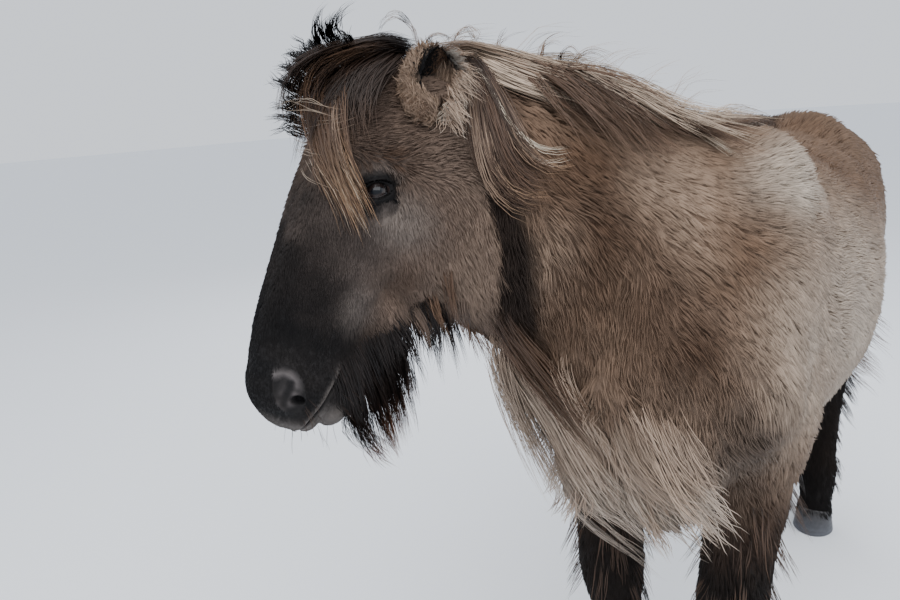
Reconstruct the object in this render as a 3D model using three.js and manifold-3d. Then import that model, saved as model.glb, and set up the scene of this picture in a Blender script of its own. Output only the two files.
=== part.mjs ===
// A still, life-size model of an Icelandic horse in its long winter coat.
// It stands square on four hooves and turns its neck and head to its right.
// Lengths are in millimetres. +Z is up, +X is the horse's left and the nose points to -Y.
// Shapes are first laid out about the point on the floor below the withers.
// At the end the whole horse moves so that the origin is the middle of its footprint, on the floor.

import * as THREE from 'three';
import { mergeVertices } from 'three/addons/utils/BufferGeometryUtils.js';
import Module from 'manifold-3d';

const wasm = await Module();
wasm.setup();

// Driving dimensions

const GAP = 0.3; // clearance between two neighbouring pieces
const LEG_TOP = 645; // height at which a leg leaves the body
const TORSO_CELL = [66, 72, 62]; // size of the facets on each piece
const NECK_CELL = 48;
const HEAD_CELL = [25, 29, 31];
const MUZZLE_CELL = 18;
const LEG_CELL = [31, 33, 60];
const TAIL_CELL = [30, 30, 80];
const EYE_RADIUS = 21;
const SHORT_EDGE = 0.12; // edges shorter than this are closed up
const LOCK_SINK = 16; // how deep the root of a lock is sunk in the flesh
const LOCK_LIFT = 9; // how far a lock's middle stands off the flesh
const SEED = 7;

// Small maths on points written as [x, y, z]

const add = (a, b) => [a[0] + b[0], a[1] + b[1], a[2] + b[2]];
const sub = (a, b) => [a[0] - b[0], a[1] - b[1], a[2] - b[2]];
const scale = (a, s) => [a[0] * s, a[1] * s, a[2] * s];
const dot = (a, b) => a[0] * b[0] + a[1] * b[1] + a[2] * b[2];
const cross = (a, b) => [a[1] * b[2] - a[2] * b[1], a[2] * b[0] - a[0] * b[2], a[0] * b[1] - a[1] * b[0]];
const size = (a) => Math.hypot(a[0], a[1], a[2]);
const unit = (a) => scale(a, 1 / size(a));
const mix = (a, b, t) => a + (b - a) * t;
const clamp = (v, low, high) => Math.min(Math.max(v, low), high);
const radians = (degrees) => (degrees * Math.PI) / 180;
const folded = (p) => [Math.abs(p[0]), p[1], p[2]];

// A repeatable series of numbers from 0 to 1

let seedState = SEED;
function random() {
  seedState = (seedState + 0x6d2b79f5) | 0;
  let t = Math.imul(seedState ^ (seedState >>> 15), 1 | seedState);
  t = (t + Math.imul(t ^ (t >>> 7), 61 | t)) ^ t;
  return ((t ^ (t >>> 14)) >>> 0) / 4294967296;
}
const spread = (low, high) => mix(low, high, random());

// Distance fields: below zero inside a form, and near the distance to it outside

// The union of two fields with a fillet of about k between them.
function blend(a, b, k) {
  const h = clamp(0.5 + (0.5 * (b - a)) / k, 0, 1);
  return b + (a - b) * h - k * h * (1 - h);
}

// The values that a smooth curve through rows of [t, values...] has at t.
function curve(rows, t) {
  const last = rows.length - 1;
  const x = clamp(t, rows[0][0], rows[last][0]);
  let i = 0;
  while (i < last - 1 && x >= rows[i + 1][0]) i += 1;
  const slope = (j, c) => {
    const low = rows[Math.max(j - 1, 0)];
    const high = rows[Math.min(j + 1, last)];
    return (high[c] - low[c]) / (high[0] - low[0]);
  };
  const span = rows[i + 1][0] - rows[i][0];
  const s = (x - rows[i][0]) / span;
  return rows[i].slice(1).map((value, n) => {
    const c = n + 1;
    const rise = (1 + 2 * s) * (1 - s) ** 2 * value + s * s * (3 - 2 * s) * rows[i + 1][c];
    const lean = s * (1 - s) ** 2 * slope(i, c) + s * s * (s - 1) * slope(i + 1, c);
    return rise + lean * span;
  });
}

// An ellipsoid.
function oval(p, centre, radii) {
  const q = sub(p, centre);
  const near = Math.hypot(q[0] / radii[0], q[1] / radii[1], q[2] / radii[2]);
  const steep = Math.hypot(q[0] / radii[0] ** 2, q[1] / radii[1] ** 2, q[2] / radii[2] ** 2);
  return (near * (near - 1)) / Math.max(steep, 1e-9);
}

// A rod from a to b with round ends and an oval section.
// Each end states [half-width along side, half-depth across it].
function limb(a, b, endA, endB, side = [1, 0, 0]) {
  const length = size(sub(b, a));
  const along = unit(sub(b, a));
  const wide = unit(sub(side, scale(along, dot(side, along))));
  const deep = cross(along, wide);
  return (p) => {
    const o = sub(p, a);
    const t = clamp(dot(o, along) / length, 0, 1);
    const w = mix(endA[0], endB[0], t);
    const d = mix(endA[1], endB[1], t);
    const e = 0.5 * (w + d);
    const [x, y, z] = [dot(o, wide), dot(o, deep), dot(o, along) - t * length];
    const near = Math.hypot(x / w, y / d, z / e);
    const steep = Math.hypot(x / w ** 2, y / d ** 2, z / e ** 2);
    return (near * (near - 1)) / Math.max(steep, 1e-9);
  };
}

// A bent rod through stations of [t, x, y, z, half-width, half-depth, turn of the width in degrees].
function tube(stations, steps) {
  const first = stations[0][0];
  const last = stations[stations.length - 1][0];
  const rows = Array.from({ length: steps + 1 }, (_, i) => curve(stations, mix(first, last, i / steps)));
  const links = rows.slice(1).map((row, i) => {
    const before = rows[i];
    const turn = radians(0.5 * ((before[5] ?? 0) + (row[5] ?? 0)));
    const side = [Math.cos(turn), -Math.sin(turn), 0];
    return limb(before.slice(0, 3), row.slice(0, 3), before.slice(3, 5), row.slice(3, 5), side);
  });
  return (p) => links.reduce((low, link) => Math.min(low, link(p)), Infinity);
}

// Body

// Rows of [y, top, bottom, height of the greatest width, half-width] from breast to rump.
const TORSO = [
  [-400, 1080, 860, 970, 60],
  [-360, 1150, 790, 970, 110],
  [-280, 1220, 725, 970, 165],
  [-150, 1300, 690, 970, 225],
  [20, 1345, 675, 970, 262],
  [220, 1330, 660, 970, 295],
  [420, 1310, 655, 980, 315],
  [600, 1335, 685, 1000, 300],
  [740, 1355, 750, 1020, 285],
  [920, 1325, 820, 1060, 265],
  [1050, 1240, 900, 1080, 215],
  [1120, 1150, 1020, 1090, 120],
];
const TORSO_FULLNESS = 2.25; // 2 is an ellipse, more is squarer

function barrel(p) {
  const [x, y, z] = folded(p);
  const [top, bottom, middle, wide] = curve(TORSO, y);
  const high = z > middle ? top - middle : middle - bottom;
  const n = TORSO_FULLNESS;
  const near = ((x / wide) ** n + (Math.abs(z - middle) / high) ** n) ** (1 / n);
  const round = (near - 1) * Math.min(wide, high) * 0.9;
  const past = Math.max(TORSO[0][0] - y, y - TORSO[TORSO.length - 1][0]);
  return past > 0 ? Math.hypot(Math.max(round, 0), past) : round;
}

const shoulder = limb([115, 50, 1240], [152, -245, 970], [85, 120], [88, 110]);
const upperArm = limb([152, -245, 955], [160, -40, 820], [82, 98], [75, 105]);
const breast = limb([68, -300, 1020], [58, -305, 800], [85, 85], [75, 80]);
const croup = limb([88, 715, 1250], [125, 940, 1165], [102, 100], [120, 125]);
const thigh = limb([165, 800, 1080], [190, 720, 860], [95, 190], [75, 115]);
const hamstring = limb([105, 1035, 1120], [150, 960, 800], [90, 95], [75, 105]);

function muscles(p) {
  const q = folded(p);
  const front = blend(blend(shoulder(q), upperArm(q), 50), breast(q), 50);
  const back = blend(blend(croup(q), thigh(q), 60), hamstring(q), 60);
  return blend(front, back, 50);
}

// Legs

// Stations of [t, x, y, z, half-width, half-depth] of a left leg, from the body to the pastern.
const FORE_LEG = [
  [0, 155, -60, 830, 80, 110],
  [1, 145, -75, 700, 75, 100],
  [2, 134, -85, 570, 68, 86],
  [3, 126, -92, 440, 67, 78],
  [4, 122, -80, 355, 55, 64],
  [5, 120, -76, 260, 48, 56],
  [6, 118, -80, 165, 54, 66],
  [7, 118, -104, 105, 47, 51],
  [8, 118, -120, 60, 52, 55],
];
const HIND_LEG = [
  [0, 170, 820, 860, 85, 150],
  [1, 160, 880, 740, 80, 125],
  [2, 150, 950, 620, 66, 90],
  [3, 143, 1020, 500, 58, 75],
  [4, 140, 1015, 400, 52, 60],
  [5, 138, 1005, 280, 48, 55],
  [6, 136, 995, 170, 55, 67],
  [7, 136, 970, 105, 48, 52],
  [8, 136, 955, 60, 54, 58],
];
const LEG_STEPS = 14;
const BODY_HEIGHT = 850; // above this height the stance moves nothing

// The stance moves each hoof by [x, y], and the leg above it by less and less.
const LEGS = {
  fore_left: { stations: FORE_LEG, side: 1, stance: [0, 0] },
  fore_right: { stations: FORE_LEG, side: -1, stance: [0, 0] },
  hind_left: { stations: HIND_LEG, side: 1, stance: [15, 45] },
  hind_right: { stations: HIND_LEG, side: -1, stance: [70, 40] },
};
for (const leg of Object.values(LEGS)) {
  leg.rows = leg.stations.map(([t, x, y, z, w, d]) => {
    const share = clamp((BODY_HEIGHT - z) / BODY_HEIGHT, 0, 1);
    return [t, leg.side * x + leg.stance[0] * share, y + leg.stance[1] * share, z, w, d];
  });
  leg.field = tube(leg.rows, LEG_STEPS);
}

// Neck

// Stations of [t, x, y, z, half-width, half-depth, turn in degrees] from the body to the head.
const NECK = [
  [0, 0, 0, 1040, 200, 290, 0],
  [1, -45, -150, 1120, 175, 270, 10],
  [2, -120, -270, 1200, 145, 235, 22],
  [3, -200, -370, 1275, 122, 200, 30],
  [4, -275, -435, 1345, 105, 155, 29],
];
const neckField = tube(NECK, 12);

// Head: its own frame has its origin at the poll, x to the left, y from the face to the jaw
// and z from the nose up to the poll

const HEAD_TURN = radians(29);
const HEAD_NOD = radians(25);
const HEAD_TILT = radians(-2);
const POLL = [-355, -540, 1500];

const headTurned = new THREE.Matrix4()
  .makeRotationZ(-HEAD_TURN)
  .multiply(new THREE.Matrix4().makeRotationX(-HEAD_NOD))
  .multiply(new THREE.Matrix4().makeRotationY(HEAD_TILT));
const headAxes = [0, 1, 2].map((i) => new THREE.Vector3().setFromMatrixColumn(headTurned, i).toArray());
const toHead = (p) => headAxes.map((axis) => dot(sub(p, POLL), axis));
const fromHead = (q) => headAxes.reduce((sum, axis, i) => add(sum, scale(axis, q[i])), POLL);
const headDirection = (q) => sub(fromHead(q), POLL);

// How far the flat of the face reaches to each side, in rows of [z, half-width of the flat].
const FACE_FLAT = [
  [-600, 18],
  [-520, 22],
  [-420, 22],
  [-300, 28],
  [-180, 42],
  [-80, 34],
  [50, 18],
];
const FACE = [
  [0, 0, 82, -120, 58, 95],
  [1, 0, 74, -220, 50, 92],
  [2, 0, 64, -320, 40, 84],
  [3, 0, 60, -410, 36, 78],
  [4, 0, 62, -480, 36, 68],
];
const faceField = tube(FACE, 8);
const jaw = limb([0, 225, -160], [0, 170, -340], [66, 65], [45, 50]);
const chinBone = limb([0, 165, -340], [0, 135, -470], [42, 45], [36, 34]);
const cheekRidge = limb([80, 110, -210], [58, 115, -310], [18, 18], [12, 12]);
const EYE = [84, 72, -171];

function headField(p) {
  const q = folded(toHead(p));
  const [flat] = curve(FACE_FLAT, q[2]);
  const e = [Math.max(q[0] - flat, 0), q[1], q[2]];
  let f = blend(oval(e, [0, 100, -75], [56, 112, 110]), faceField(e), 30);
  f = blend(f, oval(q, [48, 185, -175], [56, 110, 125]), 35);
  f = blend(f, jaw(q), 30);
  f = blend(f, chinBone(q), 25);
  f = blend(f, oval(q, [82, 74, -170], [28, 46, 42]), 20);
  f = blend(f, cheekRidge(q), 25);
  f = blend(f, oval(q, [0, 64, -500], [56, 64, 56]), 20);
  f = blend(f, oval(q, [42, 46, -488], [24, 32, 38]), 12);
  f = blend(f, oval(q, [0, 74, -532], [45, 44, 30]), 15);
  f = blend(f, oval(q, [0, 132, -512], [38, 28, 30]), 8);
  return blend(f, oval(q, [0, 148, -485], [33, 30, 34]), 15);
}

// The whole horse without its ears, hooves and tail.
function horseField(p) {
  let f = blend(barrel(p), muscles(p), 60);
  f = blend(f, neckField(p), 80);
  for (const leg of Object.values(LEGS)) f = blend(f, leg.field(p), 45);
  return blend(f, headField(p), 30);
}

// Masses of long hair, which the locks grow out of

// The neck's centre, its directions along, to the left and up across it, and its half-sizes at t.
function neckFrame(t) {
  const [x, y, z, halfWidth, halfDepth, turn] = curve(NECK, t);
  const along = unit(sub(curve(NECK, t + 0.05).slice(0, 3), curve(NECK, t - 0.05).slice(0, 3)));
  const side = [Math.cos(radians(turn)), -Math.sin(radians(turn)), 0];
  const left = unit(sub(side, scale(along, dot(side, along))));
  return { centre: [x, y, z], along, left, up: cross(along, left), halfWidth, halfDepth, turn };
}

// Rows of [t of the neck, half-width, half-depth, shift to the left] of the mane's mass on the crest.
const MANE_MASS = [
  [0.9, 16, 18, 0],
  [1.6, 30, 30, 8],
  [2.6, 42, 38, 16],
  [3.5, 44, 42, 14],
  [4.0, 38, 40, 4],
];
const maneMass = tube(
  MANE_MASS.map(([t, wide, deep, aside]) => {
    const { centre, left, up, halfDepth, turn } = neckFrame(Math.min(t, 3.94));
    return [t, ...add(centre, add(scale(up, halfDepth - 6), scale(left, aside))), wide, deep, turn];
  }),
  6,
);
const forelockMass = { centre: [-6, 14, -30], radii: [54, 42, 80] };
const BEARD_MASS = [
  [0, 0, 292, -226, 36, 38],
  [1, 0, 262, -322, 36, 48],
  [2, 0, 226, -404, 30, 44],
  [3, 0, 184, -466, 24, 26],
];
const beardMass = tube(BEARD_MASS, 6);

function coatField(p) {
  const q = toHead(p);
  const onHead = Math.min(oval(q, forelockMass.centre, forelockMass.radii), beardMass(q));
  return blend(blend(horseField(p), maneMass(p), 25), onHead, 18);
}

// Tail: the dock grows out of the rump and the hair hangs clear of the hocks

const DOCK_CUT = 1137; // y of the face at which the tail meets the rump
const TAIL = [
  [0, 0, 1060, 1205, 48, 50],
  [1, 0, 1140, 1190, 50, 52],
  [2, -4, 1196, 1110, 60, 48],
  [3, -8, 1206, 960, 72, 52],
  [4, -6, 1204, 780, 76, 54],
  [5, -2, 1200, 600, 68, 48],
  [6, 2, 1196, 420, 50, 40],
  [7, 4, 1192, 290, 26, 24],
];
const tailField = tube(TAIL, 14);
const rumpField = (p) => blend(coatField(p), tailField(p), 25);

// Solids

// A closed solid from a three.js geometry.
function solidFrom(geometry) {
  const bare = geometry.clone();
  bare.deleteAttribute('normal');
  bare.deleteAttribute('uv');
  const merged = mergeVertices(bare, 1e-3);
  const mesh = new wasm.Mesh({
    numProp: 3,
    vertProperties: merged.attributes.position.array,
    triVerts: new Uint32Array(merged.index.array),
  });
  return new wasm.Manifold(mesh);
}

// A geometry from lists of points and of triangles.
function geometryFrom(points, triangles) {
  const geometry = new THREE.BufferGeometry();
  geometry.setAttribute('position', new THREE.Float32BufferAttribute(points.flat(), 3));
  geometry.setIndex(triangles.flat());
  return geometry;
}

// The largest closed surface of a solid, which drops scraps and sealed hollows.
function largest(solid) {
  return solid.decompose().reduce((best, piece) => (piece.volume() > best.volume() ? piece : best));
}

// A three.js geometry from a solid, with the ends of each edge too short to keep drawn together.
// An edge stays where closing it would fold the surface, so it must have just two points in common.
function geometryOf(solid) {
  const mesh = solid.getMesh();
  const count = mesh.vertProperties.length / 3;
  const points = Array.from({ length: count }, (_, i) => [...mesh.vertProperties.slice(3 * i, 3 * i + 3)]);
  const corners = [...mesh.triVerts];
  const ends = corners.map((a, i) => [a, corners[i % 3 === 2 ? i - 2 : i + 1]]);
  const near = points.map(() => new Set());
  for (const [a, b] of ends) near[a].add(b);
  const joined = points.map((_, i) => i);
  const kept = (i) => {
    let n = i;
    while (joined[n] !== n) n = joined[n];
    return n;
  };
  for (const [a, b] of ends.map((pair) => pair.map(kept))) {
    if (joined[a] !== a || joined[b] !== b || size(sub(points[a], points[b])) > SHORT_EDGE) continue;
    if (a === b || [...near[a]].filter((n) => near[b].has(n)).length !== 2) continue;
    joined[a] = b;
    near[b].delete(a);
    for (const n of near[a]) {
      near[n].delete(a);
      if (n === b) continue;
      near[n].add(b);
      near[b].add(n);
    }
  }
  const triangles = [];
  for (let i = 0; i < corners.length; i += 3) {
    const triangle = corners.slice(i, i + 3).map(kept);
    if (new Set(triangle).size === 3) triangles.push(triangle);
  }
  const used = [...new Set(triangles.flat())];
  const renumbered = new Map(used.map((old, i) => [old, i]));
  const geometry = geometryFrom(
    used.map((i) => points[i]),
    triangles.map((triangle) => triangle.map((i) => renumbered.get(i))),
  );
  geometry.computeVertexNormals();
  return geometry;
}

// The part of a solid on the side of a plane that its normal points away from.
function keepBelow(solid, point, normal) {
  const reach = 4000;
  const block = new THREE.BoxGeometry(reach, reach, reach);
  block.translate(0, 0, -reach / 2);
  const turn = new THREE.Quaternion().setFromUnitVectors(
    new THREE.Vector3(0, 0, 1),
    new THREE.Vector3(...unit(normal)),
  );
  block.applyQuaternion(turn);
  block.translate(...point);
  return solid.intersect(solidFrom(block));
}

// The same on both sides of a joint, each side half the gap clear of the plane.
function below(solid, cut) {
  return keepBelow(solid, sub(cut.point, scale(unit(cut.normal), GAP / 2)), cut.normal);
}
function above(solid, cut) {
  return keepBelow(solid, add(cut.point, scale(unit(cut.normal), GAP / 2)), scale(cut.normal, -1));
}

// The whole numbers from 0 up to a count.
const counted = (count) => Array.from({ length: count }, (_, i) => i);

// Evenly spaced places from low to high, about a cell apart.
function places(low, high, cell) {
  const count = Math.round((high - low) / cell);
  return Array.from({ length: count + 1 }, (_, i) => mix(low, high, i / count));
}

// The slope of a field.
function slope(field, p) {
  const h = 0.5;
  return [0, 1, 2].map((i) => {
    const step = [0, 0, 0];
    step[i] = h;
    return (field(add(p, step)) - field(sub(p, step))) / (2 * h);
  });
}

// The closed surface where a field is zero, as one point in each grid cell that the surface crosses
// and one quad round each grid edge that it crosses.
// The outermost layer of the grid counts as outside, so the surface closes there.
function surfaceOf(field, xs, ys, zs) {
  const counts = [xs.length, ys.length, zs.length];
  const at = (i, j, k) => (i * counts[1] + j) * counts[2] + k;
  const values = new Float64Array(counts[0] * counts[1] * counts[2]);
  const onRim = (n, axis) => n === 0 || n === counts[axis] - 1;
  for (let i = 0; i < counts[0]; i += 1) {
    for (let j = 0; j < counts[1]; j += 1) {
      for (let k = 0; k < counts[2]; k += 1) {
        const d = field([xs[i], ys[j], zs[k]]);
        values[at(i, j, k)] = onRim(i, 0) || onRim(j, 1) || onRim(k, 2) ? Math.max(d, 1) : d;
      }
    }
  }
  const grid = [xs, ys, zs];
  const sums = new Map();
  const quads = [];
  const edges = [];
  for (let axis = 0; axis < 3; axis += 1) {
    const [u, v] = [(axis + 1) % 3, (axis + 2) % 3];
    const c = [0, 0, 0];
    for (c[0] = 0; c[0] < counts[0]; c[0] += 1) {
      for (c[1] = 0; c[1] < counts[1]; c[1] += 1) {
        for (c[2] = 0; c[2] < counts[2]; c[2] += 1) {
          if (c[axis] === counts[axis] - 1) continue;
          const next = [...c];
          next[axis] += 1;
          const [a, b] = [values[at(...c)], values[at(...next)]];
          if (a < 0 === b < 0) continue;
          const point = c.map((n, i) => grid[i][n]);
          point[axis] = mix(grid[axis][c[axis]], grid[axis][next[axis]], a / (a - b));
          const cells = [[-1, -1], [0, -1], [0, 0], [-1, 0]].map(([du, dv]) => {
            const cell = [...c];
            cell[u] += du;
            cell[v] += dv;
            return at(...cell);
          });
          for (const cell of cells) {
            const sum = sums.get(cell) ?? { total: [0, 0, 0], count: 0 };
            sum.total = add(sum.total, point);
            sum.count += 1;
            sums.set(cell, sum);
          }
          edges.push(a < 0 ? cells : cells.reverse());
        }
      }
    }
  }
  const index = new Map();
  const points = [];
  for (const [cell, sum] of sums) {
    index.set(cell, points.length);
    points.push(settle(field, scale(sum.total, 1 / sum.count)));
  }
  for (const cells of edges) {
    const [a, b, c, d] = cells.map((cell) => index.get(cell));
    const short = size(sub(points[a], points[c])) < size(sub(points[b], points[d]));
    quads.push(...(short ? [[a, b, c], [a, c, d]] : [[a, b, d], [b, c, d]]));
  }
  return solidFrom(geometryFrom(points, quads));
}

// Moves a point near a surface on to it, or leaves it where the field is far from zero.
const SETTLE_REACH = 9;
function settle(field, start) {
  let p = start;
  for (let i = 0; i < 3; i += 1) {
    const d = field(p);
    if (Math.abs(d) > SETTLE_REACH) return start;
    const s = slope(field, p);
    p = sub(p, scale(s, d / Math.max(dot(s, s), 0.25)));
  }
  return size(sub(p, start)) < SETTLE_REACH ? p : start;
}

// A closed skin over rings with the same number of points each.
// It ends flat, or in a point where a tip is given.
function loft(rings, tip = null) {
  const count = rings[0].length;
  const points = tip ? [...rings.flat(), tip] : rings.flat();
  const triangles = [];
  for (let r = 0; r < rings.length - 1; r += 1) {
    for (let i = 0; i < count; i += 1) {
      const [a, b] = [r * count + i, r * count + ((i + 1) % count)];
      triangles.push([a, b, b + count], [a, b + count, a + count]);
    }
  }
  const last = (rings.length - 1) * count;
  for (let i = 1; i < count - 1; i += 1) {
    triangles.push([0, i + 1, i]);
    if (!tip) triangles.push([last, last + i, last + i + 1]);
  }
  for (let i = 0; tip && i < count; i += 1) {
    triangles.push([last + i, last + ((i + 1) % count), last + count]);
  }
  const solid = solidFrom(geometryFrom(points, triangles));
  return solid.volume() < 0 ? solidFrom(geometryFrom(points, triangles.map((t) => t.reverse()))) : solid;
}

// A ring of points on an oval.
function ovalRing(centre, wide, deep, halfWidth, halfDepth, count) {
  return Array.from({ length: count }, (_, i) => {
    const a = (2 * Math.PI * i) / count;
    const across = scale(wide, halfWidth * Math.cos(a));
    return add(centre, add(across, scale(deep, halfDepth * Math.sin(a))));
  });
}

// Locks of hair

const DOWN = [0, 0, -1];
const BACK = [0, 1, 0];

// The share of a lock's full width along it, from the root to just before the tip.
const LOCK_WIDTHS = [0.75, 1, 0.8, 0.45];
const LOCK_THICKNESS = 0.3; // of its width
const MOST_THICKNESS = 9;

// A flat, tapered lock that starts sunk in the field's surface at the root and bends along the lie.
// It is as wide as its side direction, which stays square to the lie and flat on the surface.
function lock(field, root, lie, { length, width, droop = 0.4, lift = LOCK_LIFT, toward = DOWN }) {
  const steps = LOCK_WIDTHS.length;
  const outward = (at) => unit(slope(field, at));
  const start = outward(root);
  let heading = unit(lie);
  let side = unit(cross(heading, Math.abs(dot(heading, start)) < 0.95 ? start : BACK));
  let p = sub(root, scale(start, LOCK_SINK * 0.15));
  const path = [sub(root, scale(start, LOCK_SINK))];
  const sides = [side];
  for (let i = 1; i <= steps; i += 1) {
    heading = unit(add(heading, scale(toward, droop / steps)));
    const out = outward(p);
    const flat = unit(sub(heading, scale(out, Math.min(dot(heading, out), 0))));
    p = add(p, scale(flat, length / steps));
    const want = lift * Math.min(1, i / 2);
    const d = field(p);
    if (d < want) p = add(p, scale(outward(p), want - d));
    const across = cross(flat, out);
    if (size(across) > 0.3) side = unit(across);
    path.push(p);
    sides.push(side);
  }
  const thickness = Math.min(width * LOCK_THICKNESS, MOST_THICKNESS);
  const rings = path.slice(0, -1).map((at, i) => {
    const along = unit(sub(path[i + 1], path[Math.max(i - 1, 0)]));
    const wide = unit(sub(sides[i], scale(along, dot(sides[i], along))));
    const face = cross(wide, along);
    return ovalRing(at, wide, face, (LOCK_WIDTHS[i] * width) / 2, (LOCK_WIDTHS[i] * thickness) / 2, 4);
  });
  return loft(rings, path[steps]);
}

// Puts a point on the field's surface, moving it along the slope.
function onSurface(field, start) {
  let p = start;
  for (let i = 0; i < 14; i += 1) {
    const s = slope(field, p);
    const stride = clamp((0.8 * field(p)) / Math.max(size(s), 0.5), -40, 40);
    p = sub(p, scale(s, stride / Math.max(size(s), 1e-6)));
  }
  return p;
}

const fuse = (solid, pieces) => largest(pieces.reduce((whole, piece) => whole.add(piece), solid));

// Joints between the pieces of the body

const NECK_CUT = { point: [0, -420, 980], normal: [0, -0.733, 0.68] };
const HEAD_CUT = { point: fromHead([0, 170, 60]), normal: headDirection([0, -0.838, -0.545]) };
const LEG_CUT = { point: [0, 0, LEG_TOP], normal: [0, 0, 1] };
const TAIL_CUT = { point: [0, DOCK_CUT, 1200], normal: [0, 1, 0] };
const CORONET_SLOPE = 0.28; // rise of the hoof's top edge toward its toe
const CORONET_HEIGHT = 62;

// Hooves

const HOOF = { halfWidth: 60, halfLength: 66, topWidth: 52, topLength: 54, forward: 12, bevel: 4, sides: 14 };

function coronetCut(leg) {
  const [, x, y] = leg.rows[leg.rows.length - 1];
  return { point: [x, y, CORONET_HEIGHT], normal: [0, CORONET_SLOPE, 1] };
}

function hoof(leg) {
  const [, x, y] = leg.rows[leg.rows.length - 1];
  const ring = (forward, wide, long, z) =>
    ovalRing([x, y - forward, z], [1, 0, 0], [0, 1, 0], wide, long, HOOF.sides);
  const { halfWidth, halfLength, topWidth, topLength, forward, bevel } = HOOF;
  const top = ring(0, topWidth - 3, topLength - 4, CORONET_HEIGHT + 40);
  const sole = ring(forward, halfWidth - bevel, halfLength - bevel, 0);
  const edge = ring(forward, halfWidth, halfLength, bevel);
  const neck = ring(forward * 0.35, topWidth, topLength, CORONET_HEIGHT * 0.75);
  return below(loft([sole, edge, neck, top]), coronetCut(leg));
}

function legSolid(leg) {
  const xs = leg.rows.map((row) => row[1]);
  const ys = leg.rows.map((row) => row[2]);
  const margin = 130;
  const solid = surfaceOf(
    horseField,
    places(Math.min(...xs) - margin, Math.max(...xs) + margin * 0.9, LEG_CELL[0]),
    places(Math.min(...ys) - margin, Math.max(...ys) + margin, LEG_CELL[1]),
    places(20, LEG_TOP + 60, LEG_CELL[2]),
  );
  const plain = above(below(solid, LEG_CUT), coronetCut(leg));
  return fuse(plain, featherLocks(leg));
}

// Ears

const EAR = { base: [66, 104, -52], tip: [80, 112, 92], opening: [0.75, 0.65, 0], sides: 10 };
// Rows of [share of the length, half-width, half-depth] of the ear and of the cup cut into it.
const EAR_RINGS = [[0, 32, 30], [0.3, 41, 33], [0.55, 39, 27], [0.78, 26, 17], [0.94, 12, 9], [1, 3, 3]];
const CUP_RINGS = [[0.3, 8, 8], [0.4, 26, 23], [0.58, 28, 23], [0.78, 18, 15], [0.92, 6, 6]];
const CUP_SHIFT = 0.4; // of the cup's half-depth, toward the opening

function ear(side) {
  const place = ([x, y, z]) => fromHead([side * x, y, z]);
  const base = place(EAR.base);
  const along = unit(sub(place(EAR.tip), base));
  const length = size(sub(place(EAR.tip), base));
  const faced = headDirection([side * EAR.opening[0], EAR.opening[1], EAR.opening[2]]);
  const open = unit(sub(faced, scale(along, dot(faced, along))));
  const wide = cross(along, open);
  const rings = (rows, shift) =>
    rows.map(([t, w, d]) => {
      const centre = add(base, add(scale(along, t * length), scale(open, shift * d)));
      return ovalRing(centre, wide, open, w, d, EAR.sides);
    });
  const seat = scale(unit(headDirection([side, 0, 1])), 2 * GAP);
  const cupped = loft(rings(EAR_RINGS, 0)).subtract(loft(rings(CUP_RINGS, CUP_SHIFT)));
  return largest(cupped.subtract(headPlaced.translate(seat)));
}

// Eyes

const eyeCentre = (side) => fromHead([side * EYE[0], EYE[1], EYE[2]]);
const EYE_SIDES = [12, 8];
const EYE_SLIT = { out: 21, forward: 3, radii: [17, 21, 12.5] }; // opening between the lids

function ball(radius, centre) {
  const sphere = new THREE.SphereGeometry(radius, ...EYE_SIDES);
  sphere.translate(...centre);
  return solidFrom(sphere);
}

// An ellipsoid in the head's frame, given by its centre, radii and turns.
function headOval(centre, radii, turns) {
  const sphere = new THREE.SphereGeometry(1, 10, 7);
  sphere.scale(...radii);
  sphere.applyQuaternion(new THREE.Quaternion().setFromEuler(new THREE.Euler(...turns)));
  sphere.translate(...centre);
  sphere.applyMatrix4(headTurned);
  sphere.translate(...POLL);
  return solidFrom(sphere);
}

function eyeOpening(side) {
  const [x, y, z] = EYE;
  return headOval([side * (x + EYE_SLIT.out), y - EYE_SLIT.forward, z], EYE_SLIT.radii, [0, 0, 0]);
}

// Nostrils and mouth

const nostril = (side) => headOval([side * 62, 40, -496], [13, 9, 19], [0.35, side * 0.3, 0]);

const MOUTH = {
  corner: -428,
  front: -580,
  height: 118,
  dip: 14,
  halfWidth: 62,
  stations: 11,
  gape: 3,
  depth: 9,
};

// A wedge along the line of the lips, from one corner of the mouth round the front to the other.
function mouthSlot() {
  const rings = counted(MOUTH.stations).map((i) => {
    const a = mix(-Math.PI / 2, Math.PI / 2, i / (MOUTH.stations - 1));
    const inner = [0, MOUTH.height, MOUTH.corner + 30];
    const reach = Math.abs(Math.cos(a));
    const aim = [
      MOUTH.halfWidth * Math.sin(a),
      MOUTH.height - MOUTH.dip * reach,
      MOUTH.corner + (MOUTH.front - MOUTH.corner) * reach,
    ];
    const out = unit([aim[0], 0, aim[2] - inner[2]]);
    const surface = toHead(onSurface(headField, fromHead(aim)));
    const gape = MOUTH.gape * mix(0.4, 1, reach);
    const inside = add(surface, scale(out, -MOUTH.depth * mix(0.4, 1, reach)));
    const outside = add(surface, scale(out, 8));
    const corners = [inside, add(outside, [0, gape, 0]), add(outside, [0, -gape, 0])];
    return corners.map(fromHead);
  });
  return loft(rings);
}

// Where the locks grow

const MANE = {
  locks: 26,
  from: 1.5,
  to: 3.66,
  length: [170, 270],
  width: [36, 50],
  lift: [10, 26],
  aside: [8, 50],
  above: 30,
  rightShare: 0.3,
};

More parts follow.
